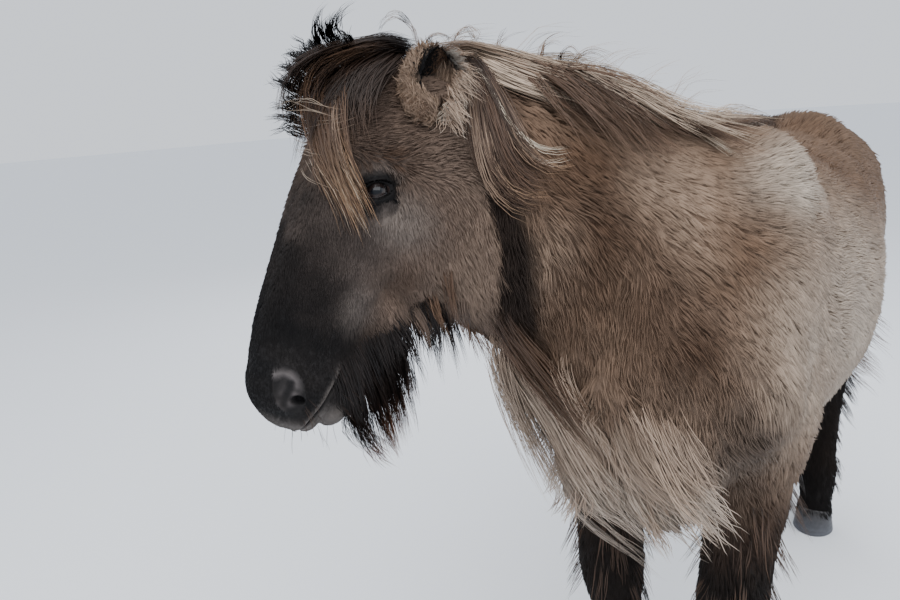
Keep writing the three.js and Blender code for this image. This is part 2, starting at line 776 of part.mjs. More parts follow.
// The mane grows from the crest and is blown back and down, most of it over the near, left side.
function maneLocks() {
  return counted(MANE.locks).map((i) => {
    const t = mix(MANE.from, MANE.to, (i + spread(-0.3, 0.3)) / (MANE.locks - 1));
    const { centre, along, left, up, halfDepth } = neckFrame(clamp(t, MANE.from, MANE.to));
    const side = random() < MANE.rightShare ? -1 : 1;
    const aside = scale(left, side * spread(...MANE.aside));
    const start = add(add(centre, scale(up, halfDepth + MANE.above)), aside);
    const root = onSurface(coatField, start);
    const across = scale(left, side * spread(0.5, 1.0));
    const lie = add(add(across, scale(along, spread(-1.1, -0.5))), scale(up, spread(0, 0.25)));
    const length = spread(...MANE.length) * mix(0.75, 1, (t - MANE.from) / (MANE.to - MANE.from));
    const [width, lift] = [spread(...MANE.width), spread(...MANE.lift)];
    return lock(coatField, root, lie, { length, width, lift, droop: spread(0.5, 1.1) });
  });
}

const THROAT = { locks: 7, from: 2.45, to: 3.2, length: [75, 105], width: [42, 54] };

// Long hair under the neck hangs down and back from the throat to the breast.
function throatLocks() {
  return counted(THROAT.locks).map((i) => {
    const t = mix(THROAT.from, THROAT.to, i / (THROAT.locks - 1));
    const { centre, along, left, up, halfWidth, halfDepth } = neckFrame(t);
    const aside = scale(left, halfWidth * spread(-0.6, 0.6));
    const root = onSurface(coatField, add(add(centre, scale(up, -halfDepth)), aside));
    const lie = add(scale(DOWN, 1), scale(along, -0.35));
    const [length, width] = [spread(...THROAT.length), spread(...THROAT.width)];
    return lock(coatField, root, lie, { length, width, lift: 16, droop: 0.4 });
  });
}

const FORELOCK = { locks: 10, length: [150, 230], width: [25, 35] };
const TUFTS = { locks: 4, length: [95, 130], width: [20, 26] };

// The forelock falls from the poll over the forehead, and a few tufts of it are blown up.
function forelockLocks() {
  const fallen = counted(FORELOCK.locks).map((i) => {
    const across = mix(-1, 1, i / (FORELOCK.locks - 1));
    const start = fromHead([across * 44, spread(30, 70), spread(24, 34)]);
    const root = onSurface(coatField, start);
    const lie = headDirection([across * 0.35 + 0.2, -0.9, -0.25]);
    const [length, width] = [spread(...FORELOCK.length), spread(...FORELOCK.width)];
    return lock(coatField, root, lie, {
      length, width, lift: spread(8, 18), droop: 1.6, toward: headDirection([across * 0.2 + 0.12, 0.1, -1]),
    });
  });
  const blown = counted(TUFTS.locks).map((i) => {
    const root = onSurface(coatField, fromHead([mix(-46, 10, i / (TUFTS.locks - 1)), 6, spread(-55, -15)]));
    const lie = headDirection([spread(-0.25, 0.1), -0.55, 0.85]);
    const toward = headDirection([0.2, 0.9, 0.4]);
    const [length, width] = [spread(...TUFTS.length), spread(...TUFTS.width)];
    return lock(coatField, root, lie, { length, width, lift: 30, droop: 0.9, toward });
  });
  return [...fallen, ...blown];
}

const BEARD = { locks: 12, from: -450, to: -210, length: 85, bulge: 60, width: [38, 50] };

// The beard hangs from the chin and along both edges of the jaw, longest at its middle.
function beardLocks() {
  return counted(BEARD.locks).map((i) => {
    const share = i / (BEARD.locks - 1);
    const side = i % 2 ? 1 : -1;
    const z = mix(BEARD.from, BEARD.to, share);
    const start = fromHead([side * mix(14, 46, share) * spread(0.7, 1.1), mix(215, 345, share), z - 30]);
    const root = onSurface(coatField, start);
    const length = (BEARD.length + BEARD.bulge * Math.sin(Math.PI * share)) * spread(0.85, 1.15);
    const lie = add(scale(DOWN, 1), add(scale(BACK, 0.25), [spread(-0.1, 0.1), 0, 0]));
    return lock(coatField, root, lie, { length, width: spread(...BEARD.width), lift: 12, droop: 0.3 });
  });
}

const BREAST = { locks: 18, rows: [900, 840, 780], reach: 185, length: [95, 125], width: [44, 56] };

// The breast carries a deep fringe that hangs in front of the forelegs.
function breastLocks() {
  return counted(BREAST.locks).map((i) => {
    const row = i % BREAST.rows.length;
    const x = mix(-BREAST.reach, BREAST.reach, i / (BREAST.locks - 1)) + spread(-10, 10);
    const z = BREAST.rows[row] + spread(-15, 15) + 0.25 * Math.abs(x);
    const root = onSurface(rumpField, [x, -430 + 0.4 * Math.abs(x), z]);
    const lie = add(scale(DOWN, 1), scale(BACK, 0.2));
    const [length, width] = [spread(...BREAST.length), spread(...BREAST.width)];
    return lock(rumpField, root, lie, { length, width, lift: 11, droop: 0.3 });
  });
}

const BELLY = { locks: 10, from: 130, to: 600, length: [80, 105], width: [46, 60] };

// A short fringe hangs along both sides of the belly.
function bellyLocks() {
  return counted(BELLY.locks).map((i) => {
    const side = i % 2 ? 1 : -1;
    const y = mix(BELLY.from, BELLY.to, i / (BELLY.locks - 1));
    const root = onSurface(rumpField, [side * spread(90, 190), y, 600]);
    const lie = [side * 0.1, 0.6, -0.8];
    const [length, width] = [spread(...BELLY.length), spread(...BELLY.width)];
    return lock(rumpField, root, lie, { length, width, lift: 12, droop: 0.3 });
  });
}

const BREECHES = { locks: 6, from: 960, to: 790, length: [90, 120], width: [40, 50] };

// Longer hair hangs down the backs of the thighs.
function breechesLocks() {
  return counted(BREECHES.locks).map((i) => {
    const side = i % 2 ? 1 : -1;
    const z = mix(BREECHES.from, BREECHES.to, i / (BREECHES.locks - 1));
    const root = onSurface(rumpField, [side * spread(125, 165), 1180, z]);
    const lie = add(DOWN, scale(BACK, -0.1));
    const [length, width] = [spread(...BREECHES.length), spread(...BREECHES.width)];
    return lock(rumpField, root, lie, { length, width, lift: 12, droop: 0.3 });
  });
}

// Rows of [t of the leg, turn from straight back in degrees toward the outside, length, width].
const FEATHER = [
  [2.2, 12, 105, 46],
  [3.2, -8, 100, 44],
  [5.3, 55, 80, 40],
  [5.3, -50, 80, 40],
  [5.5, 3, 92, 44],
];

// Feather hangs from the back of each leg and over the back of the hoof.
function featherLocks(leg) {
  return FEATHER.map(([t, turn, length, width]) => {
    const [x, y, z, halfWidth, halfDepth] = curve(leg.rows, t);
    const angle = radians(turn);
    const out = [leg.side * Math.sin(angle), Math.cos(angle), 0];
    const start = add([x, y, z], [out[0] * halfWidth, out[1] * halfDepth, 0]);
    const root = onSurface(horseField, start);
    const lie = add(DOWN, scale(out, 0.15));
    return lock(horseField, root, lie, { length: length * spread(0.9, 1.1), width, lift: 10, droop: 0.6 });
  });
}

const TAIL_HAIR = { locks: 14, from: 1.9, to: 6.3, length: [190, 250], width: [34, 44] };

// The tail hair hangs in long locks round the dock.
function tailLocks() {
  return counted(TAIL_HAIR.locks).map((i) => {
    const t = mix(TAIL_HAIR.from, TAIL_HAIR.to, i / (TAIL_HAIR.locks - 1));
    const [x, y, z, halfWidth, halfDepth] = curve(TAIL, t);
    const angle = radians(mix(-75, 75, (i * 0.38) % 1));
    const out = [Math.sin(angle), Math.cos(angle), 0];
    const root = onSurface(tailField, [x + out[0] * halfWidth, y + out[1] * halfDepth, z]);
    const length = spread(...TAIL_HAIR.length) * mix(1, 0.62, i / (TAIL_HAIR.locks - 1));
    const lie = add(DOWN, scale(out, 0.12));
    return lock(tailField, root, lie, { length, width: spread(...TAIL_HAIR.width), lift: 10, droop: 0.3 });
  });
}

// Body pieces

const torsoPlain = surfaceOf(
  rumpField,
  places(-380, 380, TORSO_CELL[0]),
  places(-470, 1290, TORSO_CELL[1]),
  places(560, 1450, TORSO_CELL[2]),
);
const torso = below(below(above(torsoPlain, LEG_CUT), NECK_CUT), TAIL_CUT);

const neckPlain = surfaceOf(
  coatField,
  places(-520, 330, NECK_CELL),
  places(-760, 300, NECK_CELL),
  places(780, 1590, NECK_CELL),
);
const neck = below(above(neckPlain, NECK_CUT), HEAD_CUT);

const headInOwnFrame = (q) => coatField(fromHead(q));
const headPlain = surfaceOf(
  headInOwnFrame,
  places(-200, 200, HEAD_CELL[0]),
  places(-70, 460, HEAD_CELL[1]),
  [...places(-600, -420, MUZZLE_CELL), ...places(-420, 100, HEAD_CELL[2]).slice(1)],
);
const headPlaced = headPlain.transform([
  ...headAxes[0], 0, ...headAxes[1], 0, ...headAxes[2], 0, ...POLL, 1,
]);
let head = above(above(headPlaced, HEAD_CUT), NECK_CUT);
for (const side of [1, -1]) {
  head = head.subtract(eyeOpening(side)).subtract(ball(EYE_RADIUS + GAP, eyeCentre(side)));
  head = head.subtract(nostril(side));
}
head = head.subtract(mouthSlot());

const tailPlain = surfaceOf(
  rumpField,
  places(-132, 132, TAIL_CELL[0]),
  places(1040, 1320, TAIL_CELL[1]),
  places(200, 1310, TAIL_CELL[2]),
);
const tail = above(tailPlain, TAIL_CUT);

// The finished horse

const COLOURS = {
  coat: { color: 0x8c7864, roughness: 0.95, metalness: 0 },
  dark: { color: 0x2c2420, roughness: 0.9, metalness: 0 },
  mane: { color: 0xb8a588, roughness: 0.9, metalness: 0 },
  horn: { color: 0x4a4a4e, roughness: 0.6, metalness: 0 },
  eye: { color: 0x140d0a, roughness: 0.1, metalness: 0 },
};
const horse = new THREE.Group();

function node(name, solid, colour) {
  const mesh = new THREE.Mesh(geometryOf(solid), new THREE.MeshStandardMaterial(COLOURS[colour]));
  mesh.name = name;
  horse.add(mesh);
  return mesh;
}

node('torso', fuse(torso, [...breastLocks(), ...bellyLocks(), ...breechesLocks()]), 'coat');
node('neck', fuse(neck, [...maneLocks(), ...throatLocks()]), 'coat');
node('head', fuse(head, [...forelockLocks(), ...beardLocks()]), 'coat');
node('tail', fuse(tail, tailLocks()), 'dark');
for (const [name, leg] of Object.entries(LEGS)) {
  node(`leg_${name}`, legSolid(leg), 'dark');
  node(`hoof_${name}`, hoof(leg), 'horn');
}
for (const [name, side] of [['left', 1], ['right', -1]]) {
  node(`ear_${name}`, ear(side), 'coat');
  node(`eye_${name}`, ball(EYE_RADIUS, eyeCentre(side)), 'eye');
}

horse.updateMatrixWorld(true);
const bounds = new THREE.Box3().setFromObject(horse);
const middle = bounds.getCenter(new THREE.Vector3());
horse.position.set(-middle.x, -middle.y, -bounds.min.z);

export default horse;
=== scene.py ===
"""A still, life-size Icelandic horse in its winter coat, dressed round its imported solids.

The skin is one mesh on the same distance field as the solids, sunk in by the depth of the coat.
Short fur is small closed tufts and long hair is bent strands, all following the lie of the coat.
Shapes are laid out in metres about the floor point below the withers, then moved on to the frame.

Throughout, p is an array of points of that layout and q the same points in the head's own frame.
A share is a number from 0 to 1 for each point.
"""

import math

import bmesh
import bpy
import numpy as np
from mathutils import Matrix, Vector
from mathutils.kdtree import KDTree


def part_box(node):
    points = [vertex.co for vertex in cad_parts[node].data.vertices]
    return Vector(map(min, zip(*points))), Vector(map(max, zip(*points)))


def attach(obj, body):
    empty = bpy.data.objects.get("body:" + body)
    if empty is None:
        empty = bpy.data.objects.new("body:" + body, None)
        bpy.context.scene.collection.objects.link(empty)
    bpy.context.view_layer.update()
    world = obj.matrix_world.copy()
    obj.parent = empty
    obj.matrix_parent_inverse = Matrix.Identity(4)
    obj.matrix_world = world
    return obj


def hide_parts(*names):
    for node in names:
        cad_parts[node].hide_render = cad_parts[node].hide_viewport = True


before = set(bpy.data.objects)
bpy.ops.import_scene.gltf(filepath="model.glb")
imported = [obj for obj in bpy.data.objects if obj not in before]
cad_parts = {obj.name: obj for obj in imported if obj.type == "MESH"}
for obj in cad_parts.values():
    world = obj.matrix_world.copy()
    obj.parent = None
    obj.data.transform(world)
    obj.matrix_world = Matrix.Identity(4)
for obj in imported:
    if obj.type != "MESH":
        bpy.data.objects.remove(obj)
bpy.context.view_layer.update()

MM = 0.001
rng = np.random.default_rng(11)

# Small maths on arrays of points

NOISE_WAY = (127.1, 311.7, 74.7)
NOISE_SCALE = 43758.5453
NOISE_SEED_STEP = 37.1


def unit(v):
    v = np.asarray(v, float)
    return v / np.maximum(np.linalg.norm(v, axis=-1, keepdims=True), 1e-9)


def mix(a, b, t):
    """From a at 0 to b at 1."""
    return a + (b - a) * t


def step01(low, high, v):
    """A smooth step from 0 at low to 1 at high."""
    t = np.clip((np.asarray(v, float) - low) / (high - low), 0.0, 1.0)
    return t * t * (3 - 2 * t)


def dots(a, b):
    return (np.asarray(a) * np.asarray(b)).sum(-1)


def ridge(x, centre, width):
    """A soft ridge: one where x is at the centre, and next to nothing two widths away."""
    return np.exp(-(((x - centre) / width) ** 2))


def mound(x, centre, width, y, y_centre, y_width):
    """A soft mound: a ridge in both x and y."""
    return np.exp(-(((x - centre) / width) ** 2) - (((y - y_centre) / y_width) ** 2))


def between(low, high, count):
    """Random numbers in a range."""
    return rng.uniform(low, high, count)


def noise(p, size, seed=0):
    """Smooth noise from 0 to 1 whose bumps are about size apart."""
    q = np.asarray(p) / size + NOISE_SEED_STEP * seed
    cell = np.floor(q)
    f = q - cell
    f = f * f * (3 - 2 * f)
    total = np.zeros(len(q))
    for corner in range(8):
        bits = np.array([corner & 1, corner >> 1 & 1, corner >> 2 & 1], float)
        share = np.where(bits > 0, f, 1 - f).prod(-1)
        value = np.sin(dots(cell + bits, NOISE_WAY)) * NOISE_SCALE
        total += share * (value - np.floor(value))
    return total


# Distance fields: below zero inside a form


def blend(a, b, k):
    """Two fields joined, with a fillet of about k where they meet."""
    h = np.clip(0.5 + 0.5 * (b - a) / k, 0.0, 1.0)
    return b + (a - b) * h - k * h * (1 - h)


def curve(rows, t):
    """The values that a smooth curve through rows of [t, values...] has at each t."""
    rows = np.asarray(rows, float)
    x = rows[:, 0]
    t = np.clip(t, x[0], x[-1])
    i = np.clip(np.searchsorted(x, t, side="right") - 1, 0, len(x) - 2)
    lean = np.zeros_like(rows)
    lean[1:-1] = (rows[2:] - rows[:-2]) / (x[2:] - x[:-2])[:, None]
    lean[0] = (rows[1] - rows[0]) / (x[1] - x[0])
    lean[-1] = (rows[-1] - rows[-2]) / (x[-1] - x[-2])
    span = (x[i + 1] - x[i])[..., None]
    s = (t - x[i])[..., None] / span
    a = (1 + 2 * s) * (1 - s) ** 2 * rows[i] + s * (1 - s) ** 2 * span * lean[i]
    b = s * s * (3 - 2 * s) * rows[i + 1] + s * s * (s - 1) * span * lean[i + 1]
    return (a + b)[..., 1:]


def oval(p, centre, radii):
    """An ellipsoid."""
    q = p - np.asarray(centre)
    radii = np.asarray(radii)
    near = np.linalg.norm(q / radii, axis=-1)
    steep = np.linalg.norm(q / radii**2, axis=-1)
    return near * (near - 1) / np.maximum(steep, 1e-6)


def limb(p, a, b, end_a, end_b, side=(1, 0, 0)):
    """A rod from a to b with round ends; each end is (half-width along side, half-depth)."""
    a, b = np.asarray(a, float), np.asarray(b, float)
    length = np.linalg.norm(b - a)
    along = (b - a) / length
    wide = unit(np.asarray(side, float) - np.dot(side, along) * along)
    deep = np.cross(along, wide)
    o = p - a
    t = np.clip(o @ along / length, 0, 1)
    w = mix(end_a[0], end_b[0], t)
    d = mix(end_a[1], end_b[1], t)
    e = 0.5 * (w + d)
    x, y, z = o @ wide, o @ deep, o @ along - t * length
    near = np.sqrt((x / w) ** 2 + (y / d) ** 2 + (z / e) ** 2)
    steep = np.sqrt((x / w**2) ** 2 + (y / d**2) ** 2 + (z / e**2) ** 2)
    return near * (near - 1) / np.maximum(steep, 1e-6)


def tube(p, stations, steps):
    """A bent rod through stations of [t, x, y, z, half-width, half-depth, turn in degrees]."""
    stations = np.asarray(stations, float)
    rows = curve(stations, np.linspace(stations[0, 0], stations[-1, 0], steps + 1))
    total = None
    for before, after in zip(rows[:-1], rows[1:]):
        turn = math.radians(0.5 * (before[5] + after[5])) if len(before) > 5 else 0
        side = (math.cos(turn), -math.sin(turn), 0)
        part = limb(p, before[:3], after[:3], before[3:5], after[3:5], side)
        total = part if total is None else np.minimum(total, part)
    return total


FAR = 0.4
FIELD_MARGIN = 0.12


def within(p, low, high, field):
    """The field near a box, and a distance of FAR where it can have no effect."""
    inside = ((p > np.asarray(low) - FIELD_MARGIN) & (p < np.asarray(high) + FIELD_MARGIN)).all(-1)
    total = np.full(len(p), FAR)
    if inside.any():
        total[inside] = field(p[inside])
    return total


# The body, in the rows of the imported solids, in millimetres

# [y, top, bottom, height of greatest width, half-width]
TORSO = np.array([
    [-400, 1080, 860, 970, 60],
    [-360, 1150, 790, 970, 110],
    [-280, 1220, 725, 970, 165],
    [-150, 1300, 690, 970, 225],
    [20, 1345, 675, 970, 262],
    [220, 1330, 660, 970, 295],
    [420, 1310, 655, 980, 315],
    [600, 1335, 685, 1000, 300],
    [740, 1355, 750, 1020, 285],
    [920, 1325, 820, 1060, 265],
    [1050, 1240, 900, 1080, 215],
    [1120, 1150, 1020, 1090, 120],
]) * MM
TORSO_FULLNESS = 2.25


def barrel(p):
    """The trunk: sections that are a little fuller than ellipses."""
    x, y, z = np.abs(p[:, 0]), p[:, 1], p[:, 2]
    top, bottom, middle, wide = curve(TORSO, y).T
    high = np.where(z > middle, top - middle, middle - bottom)
    n = TORSO_FULLNESS
    near = ((x / wide) ** n + (np.abs(z - middle) / high) ** n) ** (1 / n)
    round_part = (near - 1) * np.minimum(wide, high) * 0.9
    past = np.maximum(TORSO[0][0] - y, y - TORSO[-1][0])
    return np.where(past > 0, np.hypot(np.maximum(round_part, 0), past), round_part)


def pair(p, a, b, end_a, end_b):
    """A limb given in millimetres."""
    scale = [np.array(v, float) * MM for v in (a, b, end_a, end_b)]
    return limb(p, *scale)


def mirrored(p):
    """The points moved to the left of the plane x = 0."""
    m = p * (1, 1, 1)
    m[:, 0] = np.abs(m[:, 0])
    return m


def muscles(p):
    """Shoulders, upper arms, breast, croup, thighs and hamstrings, the same on both sides."""
    q = mirrored(p)
    shoulder = pair(q, (115, 50, 1240), (152, -245, 970), (85, 120), (88, 110))
    upper_arm = pair(q, (152, -245, 955), (160, -40, 820), (82, 98), (75, 105))
    breast = pair(q, (68, -300, 1020), (58, -305, 800), (85, 85), (75, 80))
    croup = pair(q, (88, 715, 1250), (125, 940, 1165), (102, 100), (120, 125))
    thigh = pair(q, (165, 800, 1080), (190, 720, 860), (95, 190), (75, 115))
    hamstring = pair(q, (105, 1035, 1120), (150, 960, 800), (90, 95), (75, 105))
    front = blend(blend(shoulder, upper_arm, 0.05), breast, 0.05)
    back = blend(blend(croup, thigh, 0.06), hamstring, 0.06)
    return blend(front, back, 0.05)


# A left leg: [station, x, y, z, half-width, half-depth]
FORE_LEG = [
    [0, 155, -60, 830, 80, 110],
    [1, 145, -75, 700, 75, 100],
    [2, 134, -85, 570, 68, 86],
    [3, 126, -92, 440, 67, 78],
    [4, 122, -80, 355, 55, 64],
    [5, 120, -76, 260, 48, 56],
    [6, 118, -80, 165, 54, 66],
    [7, 118, -104, 105, 47, 51],
    [8, 118, -120, 60, 52, 55],
]
HIND_LEG = [
    [0, 170, 820, 860, 85, 150],
    [1, 160, 880, 740, 80, 125],
    [2, 150, 950, 620, 66, 90],
    [3, 143, 1020, 500, 58, 75],
    [4, 140, 1015, 400, 52, 60],
    [5, 138, 1005, 280, 48, 55],
    [6, 136, 995, 170, 55, 67],
    [7, 136, 970, 105, 48, 52],
    [8, 136, 955, 60, 54, 58],
]
LEG_STEPS = 14
# The height at which a leg no longer moves with its hoof
BODY_HEIGHT = 850


def leg_rows(stations, side, stance):
    """The stations of one leg, with its hoof moved by the stance and its top left in place."""
    rows = []
    for t, x, y, z, w, d in stations:
        share = min(max((BODY_HEIGHT - z) / BODY_HEIGHT, 0), 1)
        place = (side * x + stance[0] * share, y + stance[1] * share, z, w, d)
        rows.append([t, *(v * MM for v in place)])
    return np.array(rows)


LEGS = {
    "fore_left": leg_rows(FORE_LEG, 1, (0, 0)),
    "fore_right": leg_rows(FORE_LEG, -1, (0, 0)),
    "hind_left": leg_rows(HIND_LEG, 1, (15, 45)),
    "hind_right": leg_rows(HIND_LEG, -1, (70, 40)),
}


def leg_field(p, rows):
    low, high = rows[:, 1:4].min(0) - FIELD_MARGIN, rows[:, 1:4].max(0) + FIELD_MARGIN
    return within(p, low, high, lambda q: tube(q, rows, LEG_STEPS))


# [station, x, y, z, half-width, half-depth, turn in degrees]
NECK = np.array([
    [0, 0, 0, 1040, 200, 290, 0],
    [1, -45, -150, 1120, 175, 270, 10],
    [2, -120, -270, 1200, 145, 235, 22],
    [3, -200, -370, 1275, 122, 200, 30],
    [4, -275, -435, 1345, 105, 155, 29],
]) * ([1] + [MM] * 5 + [1])
NECK_STEPS = 12


def neck_field(p):
    return tube(p, NECK, NECK_STEPS)


# The head's own frame: x to its left, y from the face to the jaw, z up the face to the poll

HEAD_TURN, HEAD_NOD, HEAD_TILT = (math.radians(a) for a in (29, 25, -2))
POLL = np.array([-355, -540, 1500]) * MM


def head_axes():
    turn = Matrix.Rotation(-HEAD_TURN, 3, "Z")
    nod = Matrix.Rotation(-HEAD_NOD, 3, "X")
    tilt = Matrix.Rotation(HEAD_TILT, 3, "Y")
    return np.array(turn @ nod @ tilt)


HEAD_AXES = head_axes()


def to_head(p):
    """Points of the layout in the head's frame."""
    return (np.asarray(p) - POLL) @ HEAD_AXES


def from_head(q):
    """Points of the head's frame in the layout."""
    return np.asarray(q, float) @ HEAD_AXES.T + POLL


def head_way(q):
    """Directions of the head's frame in the layout."""
    return np.asarray(q, float) @ HEAD_AXES.T


# [height, half-width of the flat front of the face]
FACE_FLAT = np.array([[-600, 18], [-520, 22], [-420, 22], [-300, 28], [-180, 42], [-80, 34], [50, 18]]) * MM
FACE = np.array([
    [0, 0, 82, -120, 58, 95],
    [1, 0, 74, -220, 50, 92],
    [2, 0, 64, -320, 40, 84],
    [3, 0, 60, -410, 36, 78],
    [4, 0, 62, -480, 36, 68],
]) * ([1] + [MM] * 5)
EYE = np.array([84, 72, -171]) * MM
EYE_RADIUS = 21 * MM

# Each form of the head: (name, its field from the mirrored points, the fillet that joins it on)
HEAD_FORMS = [
    ("cheek", lambda q: bulge(q, (48, 185, -175), (56, 110, 125)), 0.035),
    ("jaw", lambda q: pair(q, (0, 225, -160), (0, 170, -340), (66, 65), (45, 50)), 0.03),
    ("jaw bar", lambda q: pair(q, (0, 165, -340), (0, 135, -470), (42, 45), (36, 34)), 0.025),
    ("eye socket", lambda q: bulge(q, (82, 74, -170), (28, 46, 42)), 0.02),
    ("face crest", lambda q: pair(q, (80, 110, -210), (58, 115, -310), (18, 18), (12, 12)), 0.025),
    ("muzzle", lambda q: bulge(q, (0, 64, -500), (56, 64, 56)), 0.02),
    ("nostril wing", lambda q: bulge(q, (42, 46, -488), (24, 32, 38)), 0.012),
    ("upper lip", lambda q: bulge(q, (0, 74, -532), (45, 44, 30)), 0.015),
    ("lower lip", lambda q: bulge(q, (0, 132, -512), (38, 28, 30)), 0.008),
    ("chin", lambda q: bulge(q, (0, 148, -485), (33, 30, 34)), 0.015),
]
FACE_STEPS = 8
SKULL_FILLET = 0.03
HEAD_LOW, HEAD_HIGH = np.array([-0.13, -0.1, -0.6]), np.array([0.13, 0.33, 0.1])


def bulge(p, centre, radii):
    """An ellipsoid given in millimetres."""
    return oval(p, np.array(centre) * MM, np.array(radii) * MM)


def head_local(q):
    """The head in its own frame: skull and face with a flat front, and the forms on them."""
    q = mirrored(q)
    flat = curve(FACE_FLAT, q[:, 2])[:, 0]
    parted = q * (1, 1, 1)
    parted[:, 0] = np.maximum(q[:, 0] - flat, 0)
    skull = bulge(parted, (0, 100, -75), (56, 112, 110))
    total = blend(skull, tube(parted, FACE, FACE_STEPS), SKULL_FILLET)
    for _, form, fillet in HEAD_FORMS:
        total = blend(total, form(q), fillet)
    return total


def head_field(p):
    return within(to_head(p), HEAD_LOW, HEAD_HIGH, head_local)


def neck_frame(t):
    """Centre, along, left, up, half-depth and half-width of the neck at each station t."""
    t = np.atleast_1d(np.asarray(t, float))
    row = curve(NECK, t)
    along = unit(curve(NECK, t + 0.05)[:, :3] - curve(NECK, t - 0.05)[:, :3])
    turn = np.radians(row[:, 5])
    side = np.stack([np.cos(turn), -np.sin(turn), 0 * turn], -1)
    left = unit(side - along * dots(side, along)[:, None])
    return row[:, :3], along, left, np.cross(along, left), row[:, 4], row[:, 3]


# The swell of the mane on the crest: [station of the neck, half-width, half-depth, aside]
MANE_MASS = [[0.9, 16, 18, 0], [1.6, 30, 30, 8], [2.6, 42, 38, 16], [3.5, 44, 42, 14], [4.0, 38, 40, 4]]
MANE_SUNK = 6 * MM
MANE_STEPS = 6
MANE_MARGIN = 0.05
NECK_END = 3.94


def mane_rows():
    rows = []
    for t, wide, deep, aside in MANE_MASS:
        station = min(t, NECK_END)
        centre, _, left, up, half_depth, _ = neck_frame(station)
        place = centre[0] + up[0] * (half_depth[0] - MANE_SUNK) + left[0] * aside * MM
        turn = curve(NECK, np.array([station]))[0, 5]
        rows.append([t, *place, wide * MM, deep * MM, turn])
    return np.array(rows)


MANE_ROWS = mane_rows()
MANE_LOW, MANE_HIGH = MANE_ROWS[:, 1:4].min(0) - MANE_MARGIN, MANE_ROWS[:, 1:4].max(0) + MANE_MARGIN


def mane_field(p):
    return within(p, MANE_LOW, MANE_HIGH, lambda q: tube(q, MANE_ROWS, MANE_STEPS))


MUSCLE_FILLET, NECK_FILLET, LEG_FILLET, HEAD_FILLET, MANE_FILLET = 0.06, 0.08, 0.045, 0.03, 0.025


def horse_field(p):
    """The envelope of the coat, without ears, hooves, tail and long hair."""
    total = blend(barrel(p), muscles(p), MUSCLE_FILLET)
    total = blend(total, neck_field(p), NECK_FILLET)
    for rows in LEGS.values():
        total = blend(total, leg_field(p, rows), LEG_FILLET)
    total = blend(total, head_field(p), HEAD_FILLET)
    return blend(total, mane_field(p), MANE_FILLET)


# [station, x, y, z, half-width, half-depth]
TAIL = np.array([
    [0, 0, 1060, 1205, 48, 50],
    [1, 0, 1140, 1190, 50, 52],
    [2, -4, 1196, 1110, 60, 48],
    [3, -8, 1206, 960, 72, 52],
    [4, -6, 1204, 780, 76, 54],
    [5, -2, 1200, 600, 68, 48],
    [6, 2, 1196, 420, 50, 40],
    [7, 4, 1192, 290, 26, 24],
]) * ([1] + [MM] * 5)


def slope(field, p, step=0.001):
    """The value of a field at each point, and the direction in which it grows."""
    base = field(p)
    ways = [field(p + step * np.eye(3)[i]) - base for i in range(3)]
    return base, np.stack(ways, -1) / step


LEAST_SLOPE = 0.5
LONGEST_STRIDE = 0.05


def on_surface(field, p, rounds=4):
    """Points moved on to the zero of a field."""
    p = np.array(p, float)
    for _ in range(rounds):
        distance, way = slope(field, p)
        stride = distance / np.maximum(np.linalg.norm(way, axis=-1), LEAST_SLOPE)
        p -= unit(way) * np.clip(stride, -LONGEST_STRIDE, LONGEST_STRIDE)[:, None]
    return p


# Where on the horse a point is

# The rear edge of jaw and throat: [height in the head's frame, distance behind the face]
JAW_EDGE = np.array([
    [-0.60, 0.40],
    [-0.30, 0.315],
    [-0.25, 0.285],
    [-0.18, 0.250],
    [-0.12, 0.208],
    [0.0, 0.175],
    [0.1, 0.15],
])
# The dark line that parts the hair of the breast: [x, height]
PARTING = np.array([[0.00, 0.72], [-0.025, 0.80], [-0.125, 0.945], [-0.17, 1.14]])
NECK_MARGIN = 0.2


def parting_at(z):
    """Where across the breast the parting lies at each height."""
    return np.interp(z, PARTING[:, 1], PARTING[:, 0])


class Region:
    """How far each point belongs to the head, the muzzle, the legs and so on, as shares."""

    def __init__(self, p):
        self.p = p
        self.q = to_head(p)
        x, y, z = self.q.T
        in_head = (y > -0.12) & (z < 0.12) & (z > -0.62) & (np.abs(x) < 0.185)
        neck_low, neck_high = NECK[:, 1:4].min(0) - NECK_MARGIN, NECK[:, 1:4].max(0) + NECK_MARGIN
        d_neck = within(p, neck_low, neck_high, neck_field)
        d_head = head_field(p)
        self.behind_jaw = y - np.interp(z, JAW_EDGE[:, 0], JAW_EDGE[:, 1])
        before = step01(0.010, -0.010, self.behind_jaw)
        self.head = np.where(in_head, step01(-0.16, -0.10, d_neck - d_head), 0) * before
        self.neck = (1 - self.head) * step01(-0.07, 0.05, barrel(p) - d_neck)
        self.face = self.head * step01(-0.1, -0.25, z) * (1 - 0.85 * step01(0.10, 0.22, y))
        self.muzzle = self.head * step01(-0.36, -0.46, z)
        self.jaw = self.head * step01(0.1, 0.24, y)
        self.leg = step01(0.80, 0.62, p[:, 2]) * (1 - self.head) * (1 - self.neck)
        belly = step01(0.86, 0.72, p[:, 2]) * step01(-0.05, 0.1, p[:, 1]) * step01(0.86, 0.7, p[:, 1])
        self.belly = belly * (1 - self.head)
        self.chest = step01(-0.16, -0.3, p[:, 1]) * (1 - self.head) * step01(0.62, 0.72, p[:, 2])
        self.from_parting = p[:, 0] - parting_at(p[:, 2])


COAT_DEPTH = {
    "body": 0.013, "leg": 0.009, "foot": 0.006,
    "forehead": 0.008, "nose": 0.003, "jaw": 0.009, "muzzle": 0.001,
}


